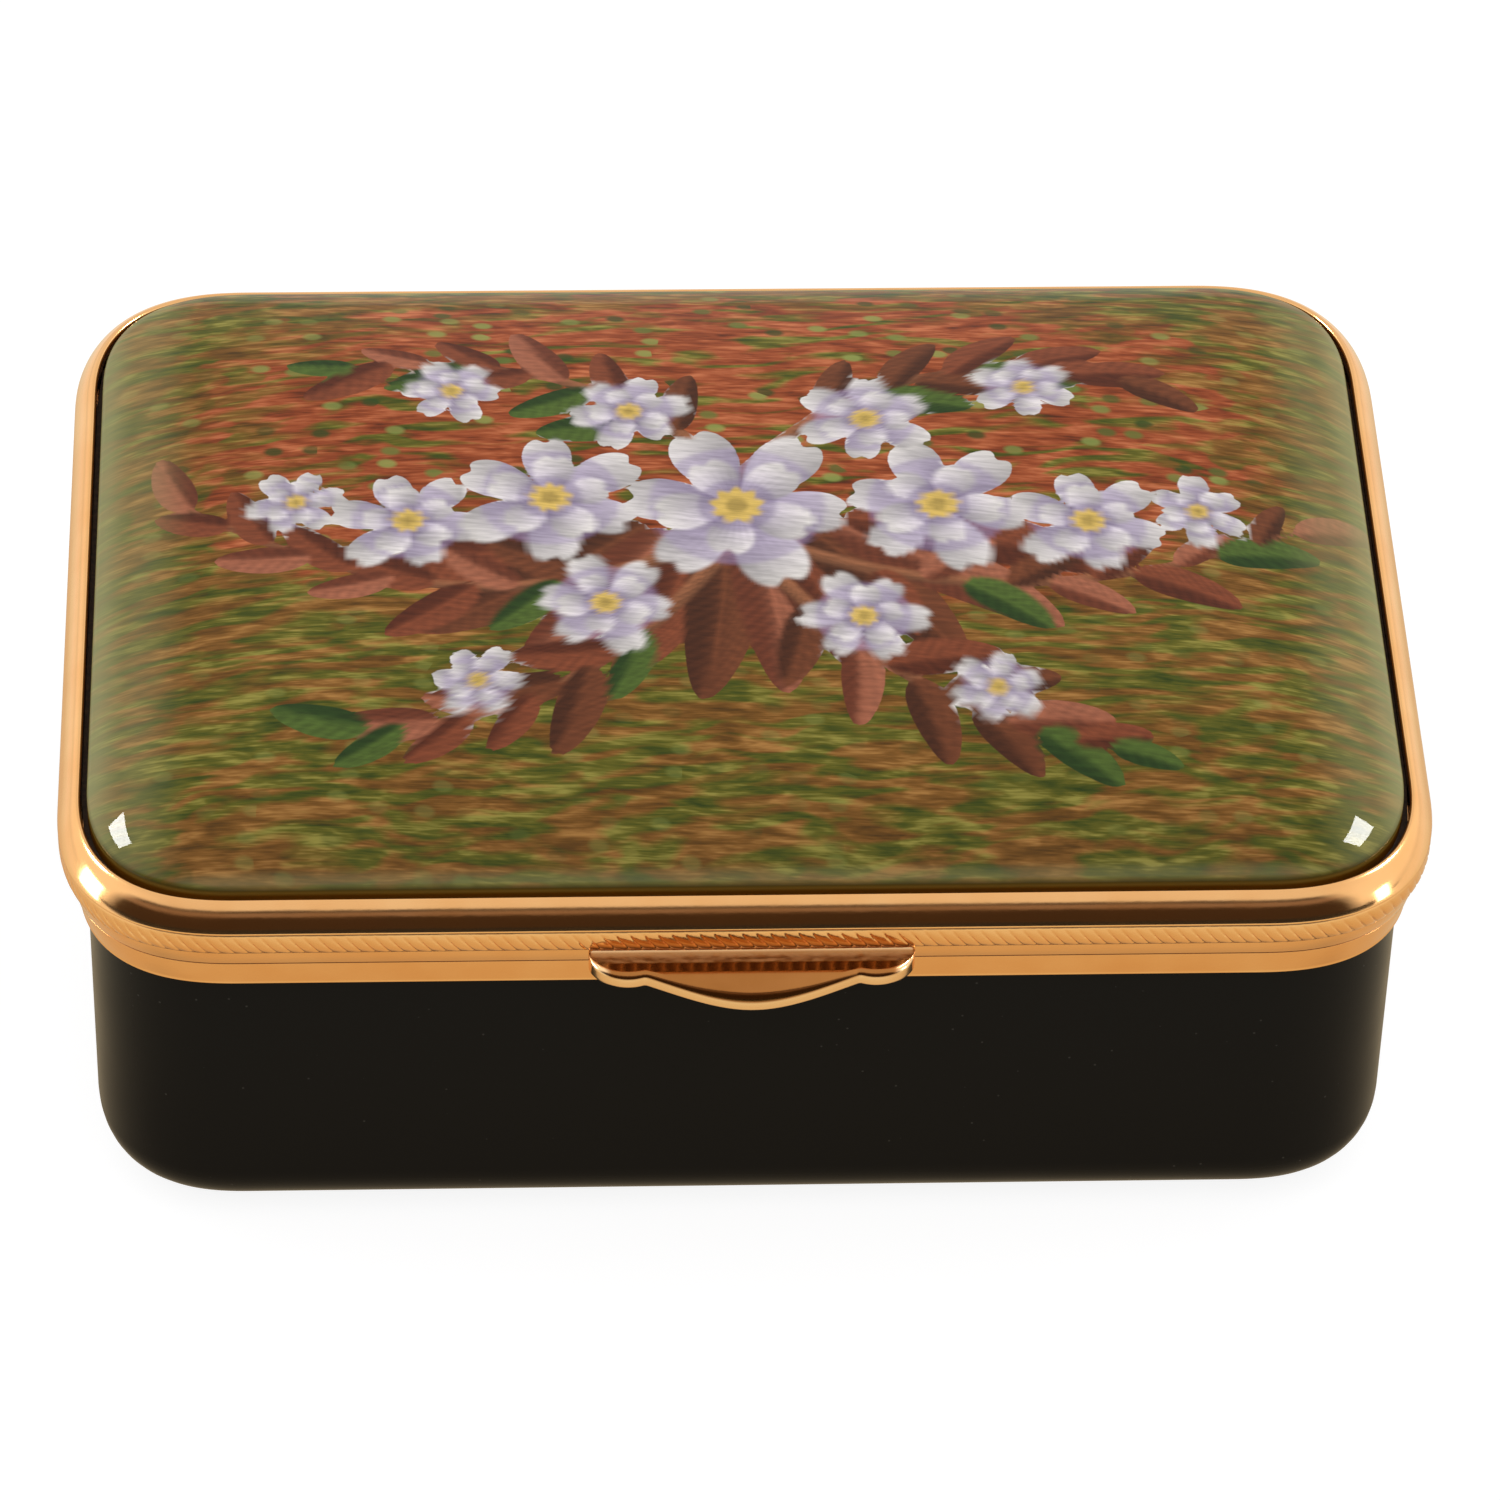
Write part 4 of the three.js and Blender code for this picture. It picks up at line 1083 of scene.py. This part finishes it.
def build_floor():
    """A pale floor. The camera sees it white, with the box's soft shadow. What the box mirrors of it is warm
    and shaded beside the box, whiter further out, and dark far in front, where a studio table ends."""
    bpy.ops.mesh.primitive_plane_add(size=3.0, location=(0, 0, 0))
    floor = bpy.context.object
    floor.name = "floor"
    material = bpy.data.materials.new("floor")
    material.use_nodes = True
    tree = material.node_tree
    tree.nodes.clear()
    plan = millimetres(tree)
    box_corner = (BOX_LENGTH / 2, BOX_DEPTH / 2, 0)
    beyond = vector_node(tree, "SUBTRACT", vector_node(tree, "ABSOLUTE", plan), box_corner)
    away = vector_node(tree, "LENGTH", vector_node(tree, "MAXIMUM", beyond, (0, 0, 0)), output="Value")
    table = ramp(tree, math_node(tree, "DIVIDE", away, 120.0), [
        (0.0, (0.52, 0.41, 0.26, 1)), (0.06, (0.7, 0.55, 0.34, 1)), (0.26, (0.76, 0.66, 0.46, 1)),
        (0.45, (0.88, 0.88, 0.74, 1)), (0.9, (1.0, 1.0, 0.98, 1))])
    y = add(tree, "ShaderNodeSeparateXYZ", {0: plan}).outputs[1]
    front = math_node(tree, "MULTIPLY_ADD", y, -0.02, -1.9, clamp=True)
    table = mix_colour(tree, front, table, grey(0.03))
    camera = add(tree, "ShaderNodeLightPath").outputs["Is Camera Ray"]
    mirrored = add(tree, "ShaderNodeEmission", {"Color": table}).outputs[0]
    diffuse = add(tree, "ShaderNodeBsdfDiffuse", {"Color": grey(0.26)}).outputs[0]
    glow = add(tree, "ShaderNodeEmission", {"Color": grey(0.88)}).outputs[0]
    seen = add(tree, "ShaderNodeAddShader", {0: diffuse, 1: glow}).outputs[0]
    both = add(tree, "ShaderNodeMixShader", {0: camera, 1: mirrored, 2: seen}).outputs[0]
    add(tree, "ShaderNodeOutputMaterial", {"Surface": both})
    floor.data.materials.append(material)


def build_world():
    """A white studio. For the light and for mirrored rays it is brightest at the sides, and dark in front
    below 45 degrees, as behind a camera, with one dim strip."""
    world = bpy.data.worlds.new("studio")
    bpy.context.scene.world = world
    world.use_nodes = True
    tree = world.node_tree
    tree.nodes.clear()
    sky = add(tree, "ShaderNodeTexCoord").outputs["Generated"]
    direction = add(tree, "ShaderNodeSeparateXYZ", {0: sky})
    x, y, z = (direction.outputs[k] for k in range(3))
    side = math_node(tree, "MULTIPLY_ADD", math_node(tree, "ABSOLUTE", x), 2.5, -0.9, clamp=True)
    studio = mix_colour(tree, side, grey(0.88), grey(1.12))
    horizon = ramp(tree, z, [(0.0, grey(0.8)), (0.16, grey(1))])
    studio = mix_colour(tree, 1.0, studio, horizon, "MULTIPLY")
    toward = math_node(tree, "MULTIPLY_ADD", x, -0.21, math_node(tree, "MULTIPLY", y, -0.98))
    forward = math_node(tree, "MULTIPLY_ADD", toward, 6.25, -2.9, clamp=True)
    strip = (0.29, 0.22, 0.19, 1)
    front = ramp(tree, z, [
        (0.395, (0.055, 0.036, 0.024, 1)), (0.46, strip), (0.54, strip), (0.575, (0.1, 0.085, 0.08, 1)),
        (0.63, (0.12, 0.1, 0.09, 1)), (0.685, grey(0.88))])
    studio = mix_colour(tree, forward, studio, front)
    camera = add(tree, "ShaderNodeLightPath").outputs["Is Camera Ray"]
    colour = mix_colour(tree, camera, studio, grey(1.0))
    background = add(tree, "ShaderNodeBackground", {"Color": colour, "Strength": 1.0}).outputs[0]
    add(tree, "ShaderNodeOutputWorld", {"Surface": background})


def pointing(azimuth, elevation):
    """Unit vector at an azimuth that turns from -Y to +X, and at an elevation, both in radians."""
    level = np.cos(elevation)
    return np.array([np.sin(azimuth) * level, -np.cos(azimuth) * level, np.sin(elevation)])


def standing(right, up, back, place):
    """Matrix of an object with these axes at a place in millimetres."""
    matrix = np.eye(4)
    matrix[:3, :3] = np.column_stack([right, up, back])
    matrix[:3, 3] = place * MM
    return Matrix(matrix.tolist())


def softbox(name, seen_from, azimuth, elevation, roll, across, up, radiance, distance, lit=None):
    """A rectangular studio lamp that only shows as a highlight, on all pieces or on a collection of them. Its
    direction, roll and size are angles in degrees as seen from a place on the box, and its power is the
    radiance times pi times its area, in watts."""
    azimuth, elevation, roll, across, up = np.radians([azimuth, elevation, roll, across, up])
    away = pointing(azimuth, elevation)
    level = np.cross([0, 0, 1], away) / np.cos(elevation)
    upright = np.cross(away, level)
    lamp = bpy.data.lights.new(name, "AREA")
    lamp.shape = "RECTANGLE"
    lamp.size, lamp.size_y = 2 * distance * MM * np.tan(across / 2), 2 * distance * MM * np.tan(up / 2)
    lamp.energy = radiance * np.pi * lamp.size * lamp.size_y
    made = bpy.data.objects.new(name, lamp)
    rolled_level = np.cos(roll) * level + np.sin(roll) * upright
    rolled_upright = np.cos(roll) * upright - np.sin(roll) * level
    made.matrix_world = standing(rolled_level, rolled_upright, away, np.array(seen_from) + away * distance)
    made.visible_diffuse = made.visible_camera = False
    if lit:
        made.light_linking.receiver_collection = lit
    bpy.context.scene.collection.objects.link(made)


def build_camera():
    """The photograph's camera, fitted to the box's edges, with its lens axis in the middle of the frame."""
    focal_pixels, frame_pixels, sensor = 7579.37, 1500.0, 36.0
    elevation, yaw, roll = np.radians([43.10, -3.183, -1.622])
    distance, side_shift, up_shift = 530.44, -1.254, -10.606
    back = pointing(yaw, elevation)
    right = np.array([np.cos(yaw), np.sin(yaw), 0.0])
    up = np.cross(back, right)
    place = back * distance - right * side_shift - up * up_shift
    rolled_right = np.cos(roll) * right - np.sin(roll) * up
    rolled_up = np.sin(roll) * right + np.cos(roll) * up
    lens = bpy.data.cameras.new("camera")
    lens.sensor_width = sensor
    lens.lens = focal_pixels / frame_pixels * sensor
    lens.clip_start, lens.clip_end = 0.01, 10.0
    camera = bpy.data.objects.new("camera", lens)
    camera.matrix_world = standing(rolled_right, rolled_up, back, place)
    bpy.context.scene.collection.objects.link(camera)
    bpy.context.scene.camera = camera


gilt = "gilt_metal", gilt_material("gilt", least=0.04, pale=(0.95, 0.53, 0.22, 1), deep=(0.9, 0.46, 0.17, 1))
# Brushed gilding for the thumb-piece; its brighter gold is partly a painted highlight and glint
brushed = "gilt_metal", gilt_material(
    "gilt_brushed", least=0.09, pale=(0.5, 0.2, 0.055, 1), deep=(0.4, 0.15, 0.035, 1),
    polished_and_glint_gold=(0.97, 0.62, 0.32, 1), scuffed=(0.7, 0.37, 0.15, 1))
black = "black_enamel", black_enamel_material()
cream = "cream_enamel", cream_enamel_material()
painted = "painted_enamel", painted_enamel_material()
copper = "copper", copper_material()
cement = "cement", cement_material()
build_body(black, cream, gilt)
build_lid(painted, cream, gilt, brushed)
build_hinge(gilt)
for node in ("body_copper", "lid_copper"):
    finish_node(node, copper)
for node in ("body_rim_cement", "lid_cap_cement"):
    finish_node(node, cement)
for node in ("body_hinge_leaf", "lid_hinge_leaf"):
    finish_node(node, gilt)
build_floor()
build_world()
build_camera()
# The high lamps show in the lid's corners, and the low ones only on the gilding
for name, seen_from, azimuth, elevation, roll, across, up in (
        ("lamp_high_left", (-40.8, -25.3, 31.2), -121, 45, 40, 14, 9.5),
        ("lamp_high_right", (39.5, -26.5, 31.3), 113, 51.7, -39, 14.3, 8.5)):
    softbox(name, seen_from, azimuth, elevation, roll, across, up, radiance=45, distance=800)
gilt_mounts = bpy.data.collections.new("gilt_mounts")
for piece in bpy.context.scene.objects:
    if piece.type == "MESH" and {gilt[1].name, brushed[1].name} & set(piece.data.materials.keys()):
        gilt_mounts.objects.link(piece)
for name, seen_from, azimuth, elevation, roll, across, up in (
        ("lamp_low_left", (-42.6, -27.7, 29.2), -90.5, 2.4, 0, 22, 28),
        ("lamp_low_right", (40.9, -29.6, 29.0), 67.3, 1.3, 0, 12, 20)):
    softbox(name, seen_from, azimuth, elevation, roll, across, up, radiance=8, distance=150, lit=gilt_mounts)
bpy.context.scene.view_settings.view_transform = "Standard"
